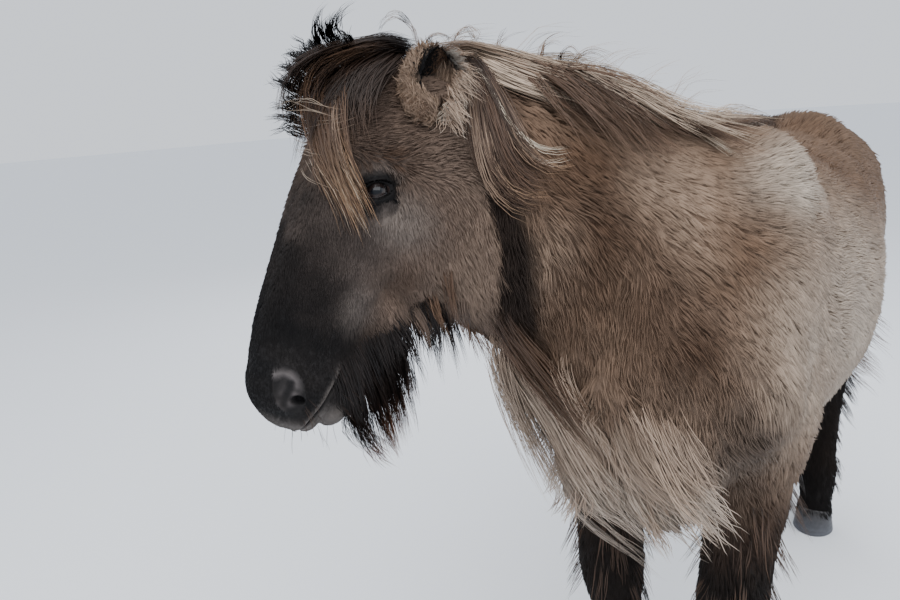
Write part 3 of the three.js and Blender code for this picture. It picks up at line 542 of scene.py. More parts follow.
def coat_depth(r):
    """How deep the skin lies below the envelope of the coat."""
    depth = COAT_DEPTH
    body = mix(depth["body"], depth["leg"], step01(0.8, 0.6, r.p[:, 2]))
    body = mix(body, depth["foot"], step01(0.3, 0.15, r.p[:, 2]))
    face = mix(depth["forehead"], depth["nose"], step01(-0.05, -0.28, r.q[:, 2]))
    face = mix(face, depth["jaw"], r.jaw * (1 - r.muzzle))
    face = mix(face, depth["muzzle"], r.muzzle)
    return mix(body, face, r.head)


def skin_field(p):
    return horse_field(p) + coat_depth(Region(p))


# Colours: measured shades of the breed's dun coat, as sRGB 0 to 255


def shade(red, green, blue):
    """An sRGB colour as linear values."""
    c = np.array([red, green, blue]) / 255
    return np.where(c <= 0.04045, c / 12.92, ((c + 0.055) / 1.055) ** 2.4)


TAUPE = shade(146, 126, 109)
CREAM = shade(190, 179, 165)
BROWN = shade(92, 70, 54)
DEEP = shade(46, 34, 27)
LEG = shade(20, 15, 12)
BLACK = shade(14, 13, 14)
FACE_GREY = shade(76, 68, 64)
PALE_GREY = shade(120, 111, 104)
FOREHEAD = shade(88, 73, 63)
CHEEK = shade(106, 90, 79)
LIP = shade(98, 92, 88)
BLOND = shade(186, 173, 154)
GOLD = shade(140, 112, 86)
SILVER = shade(206, 199, 190)
RUST = shade(98, 64, 44)

# Shades between them
COAT = mix(TAUPE, BROWN, 0.25)
UMBER = mix(BROWN, DEEP, 0.5)
# A dark brown for painted shade on the face
FACE_SHADE = mix(BROWN, DEEP, 0.6)
PARTING_BROWN = mix(BROWN, DEEP, 0.7)
LEG_BROWN = mix(BROWN, DEEP, 0.8)
# Painted shadow behind the jaw
THROAT_SHADOW = mix(DEEP, BLACK, 0.6)
JAW_BROWN = mix(CHEEK, TAUPE, 0.4)
NOSE_GREY = mix(DEEP, FACE_GREY, 0.5)
# Grey of the upper lids, and of a painted highlight on the side of the face
SIDE_GREY = mix(FACE_GREY, PALE_GREY, 0.4)
LID_GREY = mix(FACE_GREY, BLACK, 0.5)
RIM_BLACK = shade(12, 10, 10)
# Painted shade in the slit of the mouth
MOUTH_SHADOW = shade(10, 8, 8)
# Painted shade in the nostrils
NOSTRIL_SHADOW = shade(12, 11, 12)
NOSTRIL_GREY = shade(98, 92, 91)


def toward(colour, other, share):
    """Colours moved toward another by a share for each point."""
    return colour + (other - colour) * np.clip(share, 0, 1)[..., None]


def plain_coat(colour, count):
    """The same colour for each of a number of points."""
    return np.repeat(colour[None], count, 0)


def spot(p, centre, radii, soft=0.5):
    """One inside an oval spot and zero outside it."""
    far = np.linalg.norm((p - np.asarray(centre)) / np.asarray(radii), axis=-1)
    return step01(1 + soft, 1 - soft, far)


# Patches of the coat: (centre, radii, colour, strength), on both sides where x is over MARK_BOTH
MARK_BOTH = 0.03
MARKS = [
    ((-0.07, -0.37, 1.35), (0.09, 0.10, 0.11), BROWN, 0.85),
    ((-0.03, -0.36, 1.27), (0.07, 0.11, 0.09), UMBER, 0.85),
    ((-0.085, -0.44, 1.19), (0.040, 0.07, 0.07), TAUPE, 0.7),
    ((0.02, -0.28, 1.32), (0.05, 0.08, 0.07), TAUPE, 0.6),
    ((0.08, -0.26, 1.25), (0.035, 0.08, 0.07), TAUPE, 0.6),
    ((0.13, -0.24, 1.22), (0.045, 0.11, 0.12), BROWN, 0.7),
    # A painted highlight: cream high on the barrel behind the shoulder, where it turns up to the light
    ((0.19, -0.06, 1.28), (0.07, 0.16, 0.06), CREAM, 0.7),
    ((0.16, -0.18, 1.22), (0.05, 0.10, 0.08), BROWN, 0.45),
    ((0.25, 0.0, 1.02), (0.08, 0.35, 0.16), CREAM, 0.4),
    ((0.045, -0.38, 1.13), (0.07, 0.09, 0.10), UMBER, 0.8),
    ((0.125, -0.37, 1.06), (0.08, 0.10, 0.09), UMBER, 0.8),
    ((-0.013, -0.41, 1.02), (0.08, 0.08, 0.12), mix(TAUPE, BROWN, 0.7), 0.7),
    ((0.195, -0.36, 0.85), (0.06, 0.13, 0.11), DEEP, 0.95),
    ((0.17, -0.30, 0.74), (0.09, 0.12, 0.08), DEEP, 0.8),
]


def markings(r):
    """The colour of the coat at each point, with a painted highlight and a painted shadow."""
    p, q = r.p, r.q
    x, y, z = p.T
    patch = noise(p, 0.11, 3)
    small = noise(p, 0.045, 6)
    folded = mirrored(p)
    colour = plain_coat(COAT, len(p))
    flank = step01(-0.05, 0.2, y) * step01(1.3, 0.95, z)
    colour = toward(colour, CREAM, 0.42 * flank + 0.5 * r.belly)
    upper = step01(1.05, 1.28, z) * step01(-0.3, 0.0, y) * step01(0.5, 0.25, y)
    colour = toward(colour, BROWN, (0.2 + 0.35 * small) * upper)
    croup = step01(0.15, 0.45, y) * step01(1.0, 1.2, z)
    colour = toward(colour, BROWN, croup * (0.5 + 0.4 * patch))
    colour = toward(colour, BROWN, r.neck * (0.2 + 0.5 * small))
    colour = toward(colour, CREAM, 0.35 * r.chest * step01(0.95, 0.74, z))
    for centre, radii, mark, strength in MARKS:
        share = spot(folded if centre[0] > MARK_BOTH else p, centre, radii, 0.9)
        colour = toward(colour, mark, share * strength * (1 - r.head) * (0.75 + 0.5 * small))
    stripe = step01(0.05, 0.015, np.abs(x)) * step01(0.05, 0.2, y) * step01(1.05, 1.2, z)
    colour = toward(colour, DEEP, 0.85 * stripe)
    parting = ridge(r.from_parting, -0.012, 0.022) * r.chest * step01(0.75, 0.85, z)
    colour = toward(colour, PARTING_BROWN, 0.8 * parting)
    # Painted shadow in the throat latch, just behind the jaw
    throat = (1 - r.head) * step01(0.075, 0.040, r.behind_jaw) * step01(-0.03, 0.0, r.behind_jaw + 0.02)
    throat = throat * step01(0.05, -0.06, q[:, 2]) * step01(-0.36, -0.26, q[:, 2])
    colour = toward(colour, THROAT_SHADOW, 0.95 * throat)
    high_leg = step01(0.92, 0.66, z + 0.10 * small) * (1 - r.head) * (1 - r.belly)
    front_leg = step01(0.2, 0.0, y) * (1 - 0.8 * r.chest * step01(0.66, 0.78, z))
    hind_leg = step01(0.62, 0.75, y) * step01(0.80, 0.6, z)
    colour = toward(colour, LEG_BROWN, high_leg * np.maximum(front_leg, hind_leg))
    colour = toward(colour, LEG, step01(0.70, 0.52, z) * (0.85 + 0.15 * patch))
    colour = toward(colour, BLACK, step01(0.3, 0.1, z) * 0.6)
    return toward(colour, head_colour(q), r.head)


# Patches of the face: (centre, radii, softness, colour, strength)
FACE_MARKS = [
    ((0.105, 0.118, -0.195), (0.06, 0.042, 0.038), 0.7, PALE_GREY, 0.6),
    # Painted shade in the hollow above the eye
    ((0.10, 0.064, -0.120), (0.05, 0.036, 0.016), 0.6, FACE_SHADE, 0.85),
    # Painted shade low on the cheek
    ((0.077, 0.159, -0.285), (0.05, 0.022, 0.035), 0.7, FACE_SHADE, 0.45),
]
# A painted highlight of pale grey, low on the side of the face
SIDE_HIGHLIGHT = ((0.056, 0.106, -0.338), (0.04, 0.026, 0.034), 0.8)
# A black spot just below the eye
UNDER_EYE_PATCH = ((0.100, 0.066, -0.196), (0.03, 0.011, 0.010), 0.6)


def head_colour(q):
    """The head: brown forehead and cheeks, painted shade and highlight, black nose, pale lips and grey lids.
    """
    folded = mirrored(q)
    _, y, z = folded.T
    patch = noise(q, 0.03, 5)
    wide = noise(q, 0.07, 15)
    colour = toward(plain_coat(FOREHEAD, len(q)), FACE_GREY, 0.8 * step01(-0.13, -0.22, z))
    colour = toward(colour, CHEEK, step01(0.08, 0.15, y) * (0.6 + 0.4 * patch))
    colour = toward(colour, JAW_BROWN, step01(0.14, 0.22, y) * wide)
    for centre, radii, soft, mark, strength in FACE_MARKS:
        colour = toward(colour, mark, strength * spot(folded, centre, radii, soft))
    edge = z + 0.22 + 1.2 * np.clip(y, 0, 0.15) + 0.14 * (patch - 0.5) + 0.08 * (wide - 0.5)
    brownish = 0.45 * step01(-0.40, -0.26, z) * (0.4 + 0.9 * patch)
    ink = toward(plain_coat(BLACK, len(q)), NOSE_GREY, brownish)
    colour = toward(colour, ink, step01(0.12, -0.09, edge) * (0.88 + 0.12 * patch))
    nose_bridge = step01(0.03, -0.02, y) * step01(-0.14, -0.3, z)
    colour = toward(colour, BLACK, 0.4 * nose_bridge)
    colour = toward(colour, DEEP, 0.85 * step01(-0.13, -0.08, z) * step01(0.07, 0.02, y))
    # A painted highlight low on the side of the face
    colour = toward(colour, SIDE_GREY, 0.65 * spot(folded, *SIDE_HIGHLIGHT))
    colour = toward(colour, LIP, 0.8 * lip_share(q))
    from_lids, above_eye = eye_zone(q)
    over_lids = step01(0.026, 0.016, from_lids) * step01(0.0, 0.006, above_eye)
    colour = toward(colour, SIDE_GREY, 0.6 * over_lids)
    colour = toward(colour, LID_GREY, step01(0.014, 0.007, from_lids))
    colour = toward(colour, BLACK, step01(0.0075, 0.0045, from_lids))
    return toward(colour, BLACK, 0.85 * spot(folded, *UNDER_EYE_PATCH))


def lip_share(q):
    """How far each point belongs to the pale edge of the lips."""
    height, along = mouth_line(q)
    edge = ridge(height, -0.004, 0.004) * along
    front = step01(-0.525, -0.550, q[:, 2])
    low = step01(-0.485, -0.52, q[:, 2]) * step01(0.0, 0.012, height)
    return np.clip(edge * 0.9 + front + low, 0, 1)


# The lie of the coat

WHORL = np.array([0.045, -0.345, 1.175])
WHORL_REACH = 0.10
WHORL_STRENGTH = 0.35
SWIRL_SIZE = 0.08
SWIRL_STRENGTH = 0.9


def lie(r, normal):
    """The way that the hair points at each place on the skin."""
    p, q = r.p, r.q
    x, y, z = p.T
    side = np.sign(x)
    one = np.ones(len(p))

    def ways(right, back, up):
        return np.stack([right * one, back * one, up * one], -1)

    low = step01(1.2, 0.75, z)
    way = ways(0.1 * side, 1.0, -0.25 - 0.75 * low)
    down = ways(0.15 * side, 0.4, -1.0)
    way = mix(way, down, (step01(0.1, -0.15, y) * step01(1.34, 1.05, z))[:, None])
    hips = step01(0.85, 1.0, y)
    way = mix(way, ways(0.1 * side, 0.4, -1.0), hips[:, None])
    fall = np.tanh(r.from_parting / 0.05)
    way = mix(way, ways(0.38 * fall, 0.15, -1.0), r.chest[:, None])
    way = mix(way, ways(0.30 * fall, 0.30, -1.0), r.neck[:, None])
    from_whorl = mirrored(p) - WHORL
    radial = unit(from_whorl) * ways(np.where(x < 0, -1, 1), 1, 1)
    near = WHORL_STRENGTH * ridge(np.linalg.norm(from_whorl, axis=-1), 0, WHORL_REACH) * (1 - r.head)
    way = way + radial * near[:, None]
    way = mix(way, ways(0.1 * side, 0.2, -1.0), r.leg[:, None])
    way = mix(way, head_way(head_lie(q)), r.head[:, None])
    swirl = (np.stack([noise(p, SWIRL_SIZE, seed) for seed in (7, 8, 9)], -1) - 0.5) * SWIRL_STRENGTH
    way = unit(way) + swirl * mix(1, 0.4, r.head)[:, None]
    return unit(way - normal * dots(way, normal)[:, None])


# Meshes


def make_mesh(name, points, triangles, colours=None, uvs=None, normals=None):
    """A smooth object from arrays of points, triangles and values for each point."""
    mesh = bpy.data.meshes.new(name)
    count, faces = len(points), len(triangles)
    mesh.vertices.add(count)
    mesh.vertices.foreach_set("co", (points + SHIFT).astype(np.float32).ravel())
    mesh.loops.add(3 * faces)
    mesh.loops.foreach_set("vertex_index", triangles.astype(np.int32).ravel())
    mesh.polygons.add(faces)
    mesh.polygons.foreach_set("loop_start", np.arange(0, 3 * faces, 3, dtype=np.int32))
    mesh.update(calc_edges=True)
    mesh.polygons.foreach_set("use_smooth", np.ones(faces, bool))
    if colours is not None:
        attribute = mesh.color_attributes.new("Coat", "FLOAT_COLOR", "POINT")
        rgba = np.ones((count, 4), np.float32)
        rgba[:, :3] = np.clip(colours, 0, 1)
        attribute.data.foreach_set("color", rgba.ravel())
    if uvs is not None:
        layer = mesh.uv_layers.new(name="OFBake")
        layer.data.foreach_set("uv", uvs[triangles.ravel()].astype(np.float32).ravel())
    mesh.validate()
    if normals is not None:
        mesh.normals_split_custom_set_from_vertices(unit(normals).tolist())
    obj = bpy.data.objects.new(name, mesh)
    bpy.context.scene.collection.objects.link(obj)
    return obj


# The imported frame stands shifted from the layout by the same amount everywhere. HOOF_CENTRE is the middle
# of the left fore hoof in the layout.
HOOF_CENTRE = np.array([118, -132, 0]) * MM
hoof_low, hoof_high = (np.array(c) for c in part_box("hoof_fore_left"))
SHIFT = (hoof_low + hoof_high) / 2 * (1, 1, 0) - HOOF_CENTRE


def surface_nets(f, low, cell):
    """Points and quads of the surface where grid values are zero."""
    inside = f < 0
    sums = np.zeros((*(n - 1 for n in f.shape), 3))
    counts = np.zeros(sums.shape[:3])
    crossings = []
    for axis in range(3):
        first, second = [slice(None)] * 3, [slice(None)] * 3
        first[axis], second[axis] = slice(0, -1), slice(1, None)
        a, b = f[tuple(first)], f[tuple(second)]
        crossed = (a < 0) != (b < 0)
        index = np.argwhere(crossed)
        points = index.astype(float)
        points[:, axis] += a[crossed] / (a[crossed] - b[crossed])
        others = [(axis + 1) % 3, (axis + 2) % 3]
        cells = []
        for shift in ((-1, -1), (0, -1), (0, 0), (-1, 0)):
            c = index.copy()
            c[:, others[0]] += shift[0]
            c[:, others[1]] += shift[1]
            np.add.at(sums, tuple(c.T), points)
            np.add.at(counts, tuple(c.T), 1)
            cells.append(c)
        crossings.append((cells, inside[tuple(first)][crossed]))
    used = counts > 0
    number = np.full(used.shape, -1)
    number[used] = np.arange(used.sum())
    verts = np.asarray(low) + sums[used] / counts[used][:, None] * cell
    quads = []
    for cells, inward in crossings:
        quad = np.stack([number[tuple(c.T)] for c in cells], 1)
        quad[~inward] = quad[~inward][:, ::-1]
        quads.append(quad)
    return verts, np.concatenate(quads)


SKIN_CELL = 0.015
COARSE_CELL = 0.05
SKIN_BAND = 0.09
SKIN_LOW, SKIN_HIGH = np.array([-0.78, -1.05, 0.03]), np.array([0.42, 1.25, 1.66])


def grid_points(low, high, cell):
    axes = [np.arange(low[i], high[i], cell) for i in range(3)]
    return np.stack(np.meshgrid(*axes, indexing="ij"), -1)


def sample_skin():
    """The skin's surface on a grid, worked out only near where a coarser grid finds it."""
    coarse = grid_points(SKIN_LOW, SKIN_HIGH + COARSE_CELL, COARSE_CELL)
    rough = horse_field(coarse.reshape(-1, 3)).reshape(coarse.shape[:3])
    fine = grid_points(SKIN_LOW, SKIN_HIGH, SKIN_CELL)
    flat = fine.reshape(-1, 3)
    near_cell = np.round((flat - SKIN_LOW) / COARSE_CELL).astype(int)
    estimate = rough[tuple(near_cell.T)]
    close = np.abs(estimate) < SKIN_BAND
    values = estimate.copy()
    values[close] = skin_field(flat[close])
    return surface_nets(values.reshape(fine.shape[:3]), SKIN_LOW, SKIN_CELL)


def refine(bm, chosen):
    """Splits the faces whose centres are chosen into four."""
    centres = np.array([f.calc_center_median() for f in bm.faces])
    mask = chosen(centres)
    faces = [f for f, m in zip(bm.faces, mask) if m]
    edges = list({e for f in faces for e in f.edges})
    bmesh.ops.subdivide_edges(bm, edges=edges, cuts=1, use_grid_fill=True)


# Where the net of the head is split finer, from the whole head to the rims of eyes and nostrils

NOSTRIL = np.array([0.050, 0.046, -0.486])


def in_head_box(p):
    q = to_head(p)
    return (np.abs(q[:, 0]) < 0.15) & (q[:, 1] > -0.1) & (q[:, 1] < 0.3) & (q[:, 2] < 0.05)


def on_face(p):
    q = to_head(p)
    close = (np.abs(q[:, 0]) < 0.13) & (q[:, 1] < 0.16) & (q[:, 2] < -0.10)
    return close & in_head_box(p)


def fine_face(p):
    q = mirrored(to_head(p))
    eye = np.linalg.norm(q - EYE, axis=-1) < 0.045
    return eye | ((q[:, 2] < -0.44) & in_head_box(p))


def very_fine(p):
    q = mirrored(to_head(p))
    return (np.linalg.norm(q - EYE, axis=-1) < 0.030) | (np.linalg.norm(q - NOSTRIL, axis=-1) < 0.034)


# The lids: a rim of almond shape round the eyeball, with folds above it and below it

LID_AXIS = unit([0.90, -0.42, 0.06])
LID_LONG = unit([0.43, 0.81, 0.58])
LID_HALF = 0.0212
LID_UPPER, LID_LOWER = 0.0132, 0.0116
LID_GAP = 0.002
LID_SCALE = 0.011
LID_FAR = 0.05


def lid_ways():
    """The long way of the eye's opening and the way up from it."""
    long_way = unit(LID_LONG - LID_AXIS * dots(LID_LONG, LID_AXIS))
    up_way = np.cross(long_way, LID_AXIS)
    return long_way, up_way * np.sign(up_way[2])


def lid_edge(q, side):
    """Distance from the rim of the lids, distance from the eye's centre, and place along and above it."""
    from_eye = (q - EYE * (side, 1, 1)) * (side, 1, 1)
    far = np.linalg.norm(from_eye, axis=-1)
    long_way, up_way = lid_ways()
    along = dots(from_eye, long_way) / np.maximum(far, 1e-6) * (EYE_RADIUS + LID_GAP)
    above = dots(from_eye, up_way) / np.maximum(far, 1e-6) * (EYE_RADIUS + LID_GAP)
    front = dots(from_eye, LID_AXIS) > 0
    half = np.where(above > 0, LID_UPPER, LID_LOWER)
    outside = np.sqrt((along / LID_HALF) ** 2 + (above / half) ** 2) - 1
    return np.where(front, outside * LID_SCALE, LID_FAR), far, along, above


def shape_lids(q):
    """The head's points near the eyes, moved on to lids, brow and the hollows above and below them."""
    long_way, up_way = lid_ways()
    for side in (1, -1):
        centre = EYE * (side, 1, 1)
        edge, far, _, above = lid_edge(q, side)
        near = (far < 0.075) & (np.sign(q[:, 0]) == side)
        from_eye = (q - centre) * (side, 1, 1)
        high = dots(from_eye, up_way)
        along = dots(from_eye, long_way)
        rim = EYE_RADIUS + 0.0034 + 0.0013 * ridge(edge, 0.0018, 0.0014)
        upper = step01(-0.003, 0.005, above)
        lower = step01(0.002, -0.004, above)
        crease = 0.0030 * ridge(edge, 0.0080, 0.0014) * upper
        fold = 0.0020 * ridge(edge, 0.0120, 0.0014) * upper
        bags = 0.0022 * ridge(edge, 0.0062, 0.0014) + 0.0018 * ridge(edge, 0.0105, 0.0016)
        lid = mix(rim, far, step01(0.002, 0.014, edge)) - crease - fold - bags * lower
        brow = 0.0045 * mound(high, 0.026, 0.009, along, 0, 0.026)
        hollow = 0.0060 * mound(high, 0.050, 0.012, along, 0.01, 0.022)
        under = 0.0030 * mound(high, -0.034, 0.010, along, 0, 0.026)
        lid = lid + (brow - hollow - under) * step01(0.006, 0.014, edge)
        wanted = mix(EYE_RADIUS - LID_GAP, lid, step01(-0.0009, 0.0003, edge))
        wanted = np.where(edge < 0.049, wanted, far)
        moved = centre + (q - centre) * (wanted / np.maximum(far, 1e-6))[:, None]
        q = np.where(near[:, None], moved, q)
    return q


# The nostrils: bowl, hole, fold and wing, laid out in millimetres on a plane with the ways right and up

NOSTRIL_RIGHT = np.array([0.46, 0.836, 0.30])
NOSTRIL_UP = np.array([-0.168, -0.25, 0.954])
NOSTRIL_OUT = unit([0.86, -0.44, -0.10])
NOSTRIL_FOLD = np.array([[-18, 24], [-7, 26], [4, 22], [11, 13], [12, 2], [6, -9], [1, -18]]) * MM
NOSTRIL_WING = np.array([[-2, 20], [-7, 6], [-11, -7], [-14, -18], [-9, -28]]) * MM
NOSTRIL_SLOT = np.array([[4, 10], [0, -4], [-6, -20]]) * MM
NOSTRIL_HOLE = np.array([12, -16]) * MM
BOWL_HALF, BOWL_TALL = 0.0175, 0.029
HOLE_HALF, HOLE_TALL = 0.0105, 0.0075


def line_distance(place, line):
    """Distance on a plane from each place to a line of points."""
    best = np.full(len(place), 9.0)
    for a, b in zip(line[:-1], line[1:]):
        way = b - a
        t = np.clip((place - a) @ way / (way @ way), 0, 1)
        best = np.minimum(best, np.linalg.norm(place - a - t[:, None] * way, axis=-1))
    return best


def nostril_place(q):
    """Place of each point on the plane of the nostril, and whether it is near it."""
    from_middle = mirrored(q) - NOSTRIL
    place = np.stack([from_middle @ NOSTRIL_RIGHT, from_middle @ NOSTRIL_UP], -1)
    near = (np.linalg.norm(from_middle, axis=-1) < 0.07) & (q[:, 2] < -0.38)
    return place, near


def nostril_forms(q):
    """Distances: bowl and hole are one at their edge, fold and wing are from their lines."""
    place, near = nostril_place(q)
    x, y = place.T
    bowl = np.hypot((x - 0.001 + 0.15 * y) / BOWL_HALF, (y - 0.001) / BOWL_TALL)
    hole_x, hole_y = NOSTRIL_HOLE
    hole = np.hypot((x - hole_x + 0.3 * (y - hole_y)) / HOLE_HALF, (y - hole_y) / HOLE_TALL)
    fold = line_distance(place, NOSTRIL_FOLD)
    wing = line_distance(place, NOSTRIL_WING)
    return bowl, hole, fold, wing, near


def nostril_tones(q):
    """How pale each point of the nostril is, and how deep in the hollow, which is darkened as painted shade.
    """
    bowl, hole, fold, wing, near = nostril_forms(q)
    place, _ = nostril_place(q)
    slot = step01(0.0085, 0.0, line_distance(place, NOSTRIL_SLOT))
    mottle = 0.3 + 1.2 * noise(q, 0.008, 14)
    pale = np.maximum(step01(0.0125, -0.004, fold), 0.3 * step01(0.0105, -0.004, wing)) * mottle
    pale = pale * (1 - step01(1.5, 0.7, hole)) * (1 - 0.9 * slot)
    # The deeper in the bowl and the hole, the darker: painted shade
    hollow = np.maximum(0.8 * step01(1.35, 0.4, bowl) * (1 - pale), step01(1.35, 0.5, hole))
    return np.where(near, 0.6 * pale, 0), np.where(near, hollow, 0)


def shape_nostrils(q):
    """The head's points with bowl and hole pressed in and fold, wing and rim raised."""
    bowl, hole, fold, wing, near = nostril_forms(q)
    depth = 0.0060 * step01(1.25, 0.4, bowl) + 0.013 * step01(1.15, 0.3, hole)
    depth -= 0.0034 * ridge(fold, 0, 0.0068) + 0.0026 * ridge(wing, 0, 0.0060)
    depth -= 0.0026 * ridge(bowl, 1.28, 0.20)
    out = NOSTRIL_OUT * np.stack([np.sign(q[:, 0]), np.ones(len(q)), np.ones(len(q))], -1)
    return q - out * np.where(near, depth, 0)[:, None]


def mouth_line(q):
    """Height of a point over the line of the mouth, and how far along that line it is."""
    reach = step01(-0.43, -0.56, q[:, 2])
    line = 0.118 - 0.030 * reach
    along = step01(-0.425, -0.445, q[:, 2]) * step01(0.0, 0.012, 0.6 + q[:, 2])
    return q[:, 1] - line, along


def shape_mouth(q):
    """The head's points with the slit of the mouth pressed in and both lips raised."""
    height, along = mouth_line(q)
    none = 0 * height
    out = unit(np.stack([q[:, 0], none, np.minimum(q[:, 2] + 0.46, 0)], -1))
    groove = 0.006 * ridge(height, 0, 0.0018)
    upper = 0.0024 * ridge(height, -0.006, 0.005)
    lower = 0.0045 * ridge(height, 0.012, 0.011) * step01(-0.45, -0.50, q[:, 2])
    near = np.abs(height) < 0.04
    q = q + out * (np.where(near, upper + lower - groove, 0) * along)[:, None]
    lift = 0.006 * step01(-0.50, -0.565, q[:, 2]) * step01(0.12, 0.09, q[:, 1])
    return q + np.stack([none, none, lift], -1)


def build_skin():
    """The skin as one mesh: points and triangles."""
    verts, quads = sample_skin()
    bm = bmesh.new()
    mesh = bpy.data.meshes.new("net")
    mesh.from_pydata(verts.tolist(), [], quads.tolist())
    bm.from_mesh(mesh)
    bpy.data.meshes.remove(mesh)
    for chosen in (in_head_box, on_face, fine_face, very_fine):
        refine(bm, chosen)
    bmesh.ops.triangulate(bm, faces=bm.faces)
    bm.verts.ensure_lookup_table()
    points = np.array([v.co for v in bm.verts])
    triangles = np.array([[v.index for v in f.verts] for f in bm.faces])
    bm.free()
    points = on_surface(skin_field, points, rounds=2)
    head = Region(points).head > 0.5
    q = to_head(points[head])
    points[head] = from_head(shape_lids(shape_nostrils(shape_mouth(q))))
    return points, triangles


def corner_normals(points, triangles):
    a, b, c = (points[triangles[:, i]] for i in range(3))
    face = np.cross(b - a, c - a)
    normal = np.zeros_like(points)
    for i in range(3):
        np.add.at(normal, triangles[:, i], face)
    return unit(normal)


def head_lie(q):
    """The lie of the hair on the head, in its own frame: down the nose and back over the cheek."""
    x, y, z = q.T
    side = np.sign(x)
    one = np.ones(len(q))
    nose = np.stack([0.25 * side, 0.25 * one, -1.0 * one], -1)
    cheek = np.stack([0.1 * side, 0.75 * one, -0.85 * one], -1)
    brow = np.stack([0.5 * side, 0.75 * one, 0.45 * one], -1)
    way = mix(nose, cheek, step01(0.06, 0.16, y)[:, None])
    return mix(way, brow, (step01(-0.155, -0.10, z) * step01(0.25, 0.12, y))[:, None])


def eye_zone(q):
    """Distance from the rim of the nearer eye's lids, and the height above that eye."""
    from_lids = np.full(len(q), LID_FAR)
    high = np.zeros(len(q))
    for side in (1, -1):
        edge, far, _, above = lid_edge(q, side)
        near = (far < 0.055) & (np.sign(q[:, 0]) == side)
        edge = np.maximum(edge, far - EYE_RADIUS - 0.004)
        from_lids = np.where(near, edge, from_lids)
        high = np.where(near, above, high)
    return from_lids, high


def skin_colour(points):
    """Coat colours on the skin, bare skin of nostrils, mouth and lids, and painted shade in nostrils and
    mouth.
    """
    r = Region(points)
    colour = markings(r)
    # Random tone, and a little darker on average as painted shade under the coat
    body = 0.85 + 0.2 * noise(points, 0.012, 1)
    face = 0.85 + 0.25 * noise(points, 0.006, 2)
    colour = colour * mix(body, face, np.maximum(r.face, r.muzzle))[:, None]
    q = r.q
    pale, hollow = nostril_tones(q)
    # Painted shade in the hollow of the nostril
    colour = toward(colour, NOSTRIL_SHADOW, r.head * hollow)
    colour = toward(colour, NOSTRIL_GREY, r.head * pale)
    height, along = mouth_line(q)
    # Painted shade in the slit of the mouth, where the lips meet
    slit = ridge(height, 0, 0.0020) * along * r.head
    colour = toward(colour, MOUTH_SHADOW, slit)
    for side in (1, -1):
        edge, far, _, _ = lid_edge(q, side)
        rim = (far < 0.04) * (np.sign(q[:, 0]) == side) * step01(0.0050, 0.003, edge)
        colour = toward(colour, RIM_BLACK, rim)
    return colour


# Unwrap of the skin's own shape: a patch of the map for each part of the body

# (left, width, bottom, height)
TRUNK_PATCH = (0.01, 0.60, 0.02, 0.44)
HEAD_PATCH = (0.01, 0.48, 0.52, 0.46)
NECK_PATCH = (0.52, 0.46, 0.75, 0.23)
LEG_PATCH = (0.64, 0.08, 0.02, 0.44)
LEG_PATCH_STEP = 0.088
LEG_TOP = 0.645


def on_patch(patch, x, z, share, shift=0):
    """Places on a patch of the map: round a part by the way to x and z, and along it by a share."""
    left, width, bottom, height = patch
    turn = np.arctan2(x, z) / (2 * math.pi) + 0.5
    return left + shift + width * turn, bottom + height * np.clip(share, 0, 1)


def leg_share(p, rows):
    """The station of a leg that lies at each point's height."""
    heights = rows[::-1, 3]
    return np.interp(p[:, 2], heights, rows[::-1, 0])


def unwrap(r):
    """The place on the map of each point: round each part and along it."""
    p, q = r.p, r.q
    u, v = on_patch(TRUNK_PATCH, p[:, 0], p[:, 2] - 0.98, (p[:, 1] + 0.45) / 1.65)
    head_u, head_v = on_patch(HEAD_PATCH, q[:, 0], 0.1 - q[:, 1], (q[:, 2] + 0.6) / 0.75)
    neck_u, neck_v = on_patch(NECK_PATCH, p[:, 0] + 0.15, p[:, 2] - 1.15, (0.05 - p[:, 1]) / 0.65)
    in_head, in_neck = r.head > 0.5, r.neck > 0.5
    u = np.where(in_neck, neck_u, np.where(in_head, head_u, u))
    v = np.where(in_neck, neck_v, np.where(in_head, head_v, v))
    for i, rows in enumerate(LEGS.values()):
        centre = curve(rows[::-1] * ([-1] + [1] * 5), -leg_share(p, rows))
        aside, behind = p[:, 0] - centre[:, 0], p[:, 1] - centre[:, 1]
        inside = (p[:, 2] < LEG_TOP) & (np.hypot(aside, behind) < 0.2)
        leg_u, leg_v = on_patch(LEG_PATCH, aside, behind, p[:, 2] / 0.66, LEG_PATCH_STEP * i)
        u, v = np.where(inside, leg_u, u), np.where(inside, leg_v, v)
    return np.stack([u, v], -1)


# Tufts: closed blades of four points, root, the two ends of a cross ridge, and tip

# The side of the map that one tuft or strand takes up
PATCH = 0.003
# How deep the root is sunk in the skin
SUNK = 0.002
RIDGE_SHARE = 0.42
BLADE_FACES = np.array([[0, 2, 1], [1, 2, 3], [0, 1, 3], [0, 3, 2]])
# Each blade is darker at its root as painted shade deep in the coat, and lighter at its tip as painted light
BLADE_PAINTED_SHADING = np.array([0.84, 1.0, 1.0, 1.10])
BLADE_MAP = np.array([[0, 0], [-0.35, 0.45], [0.35, 0.45], [0, 1.0]]) * PATCH - 0.5 * PATCH


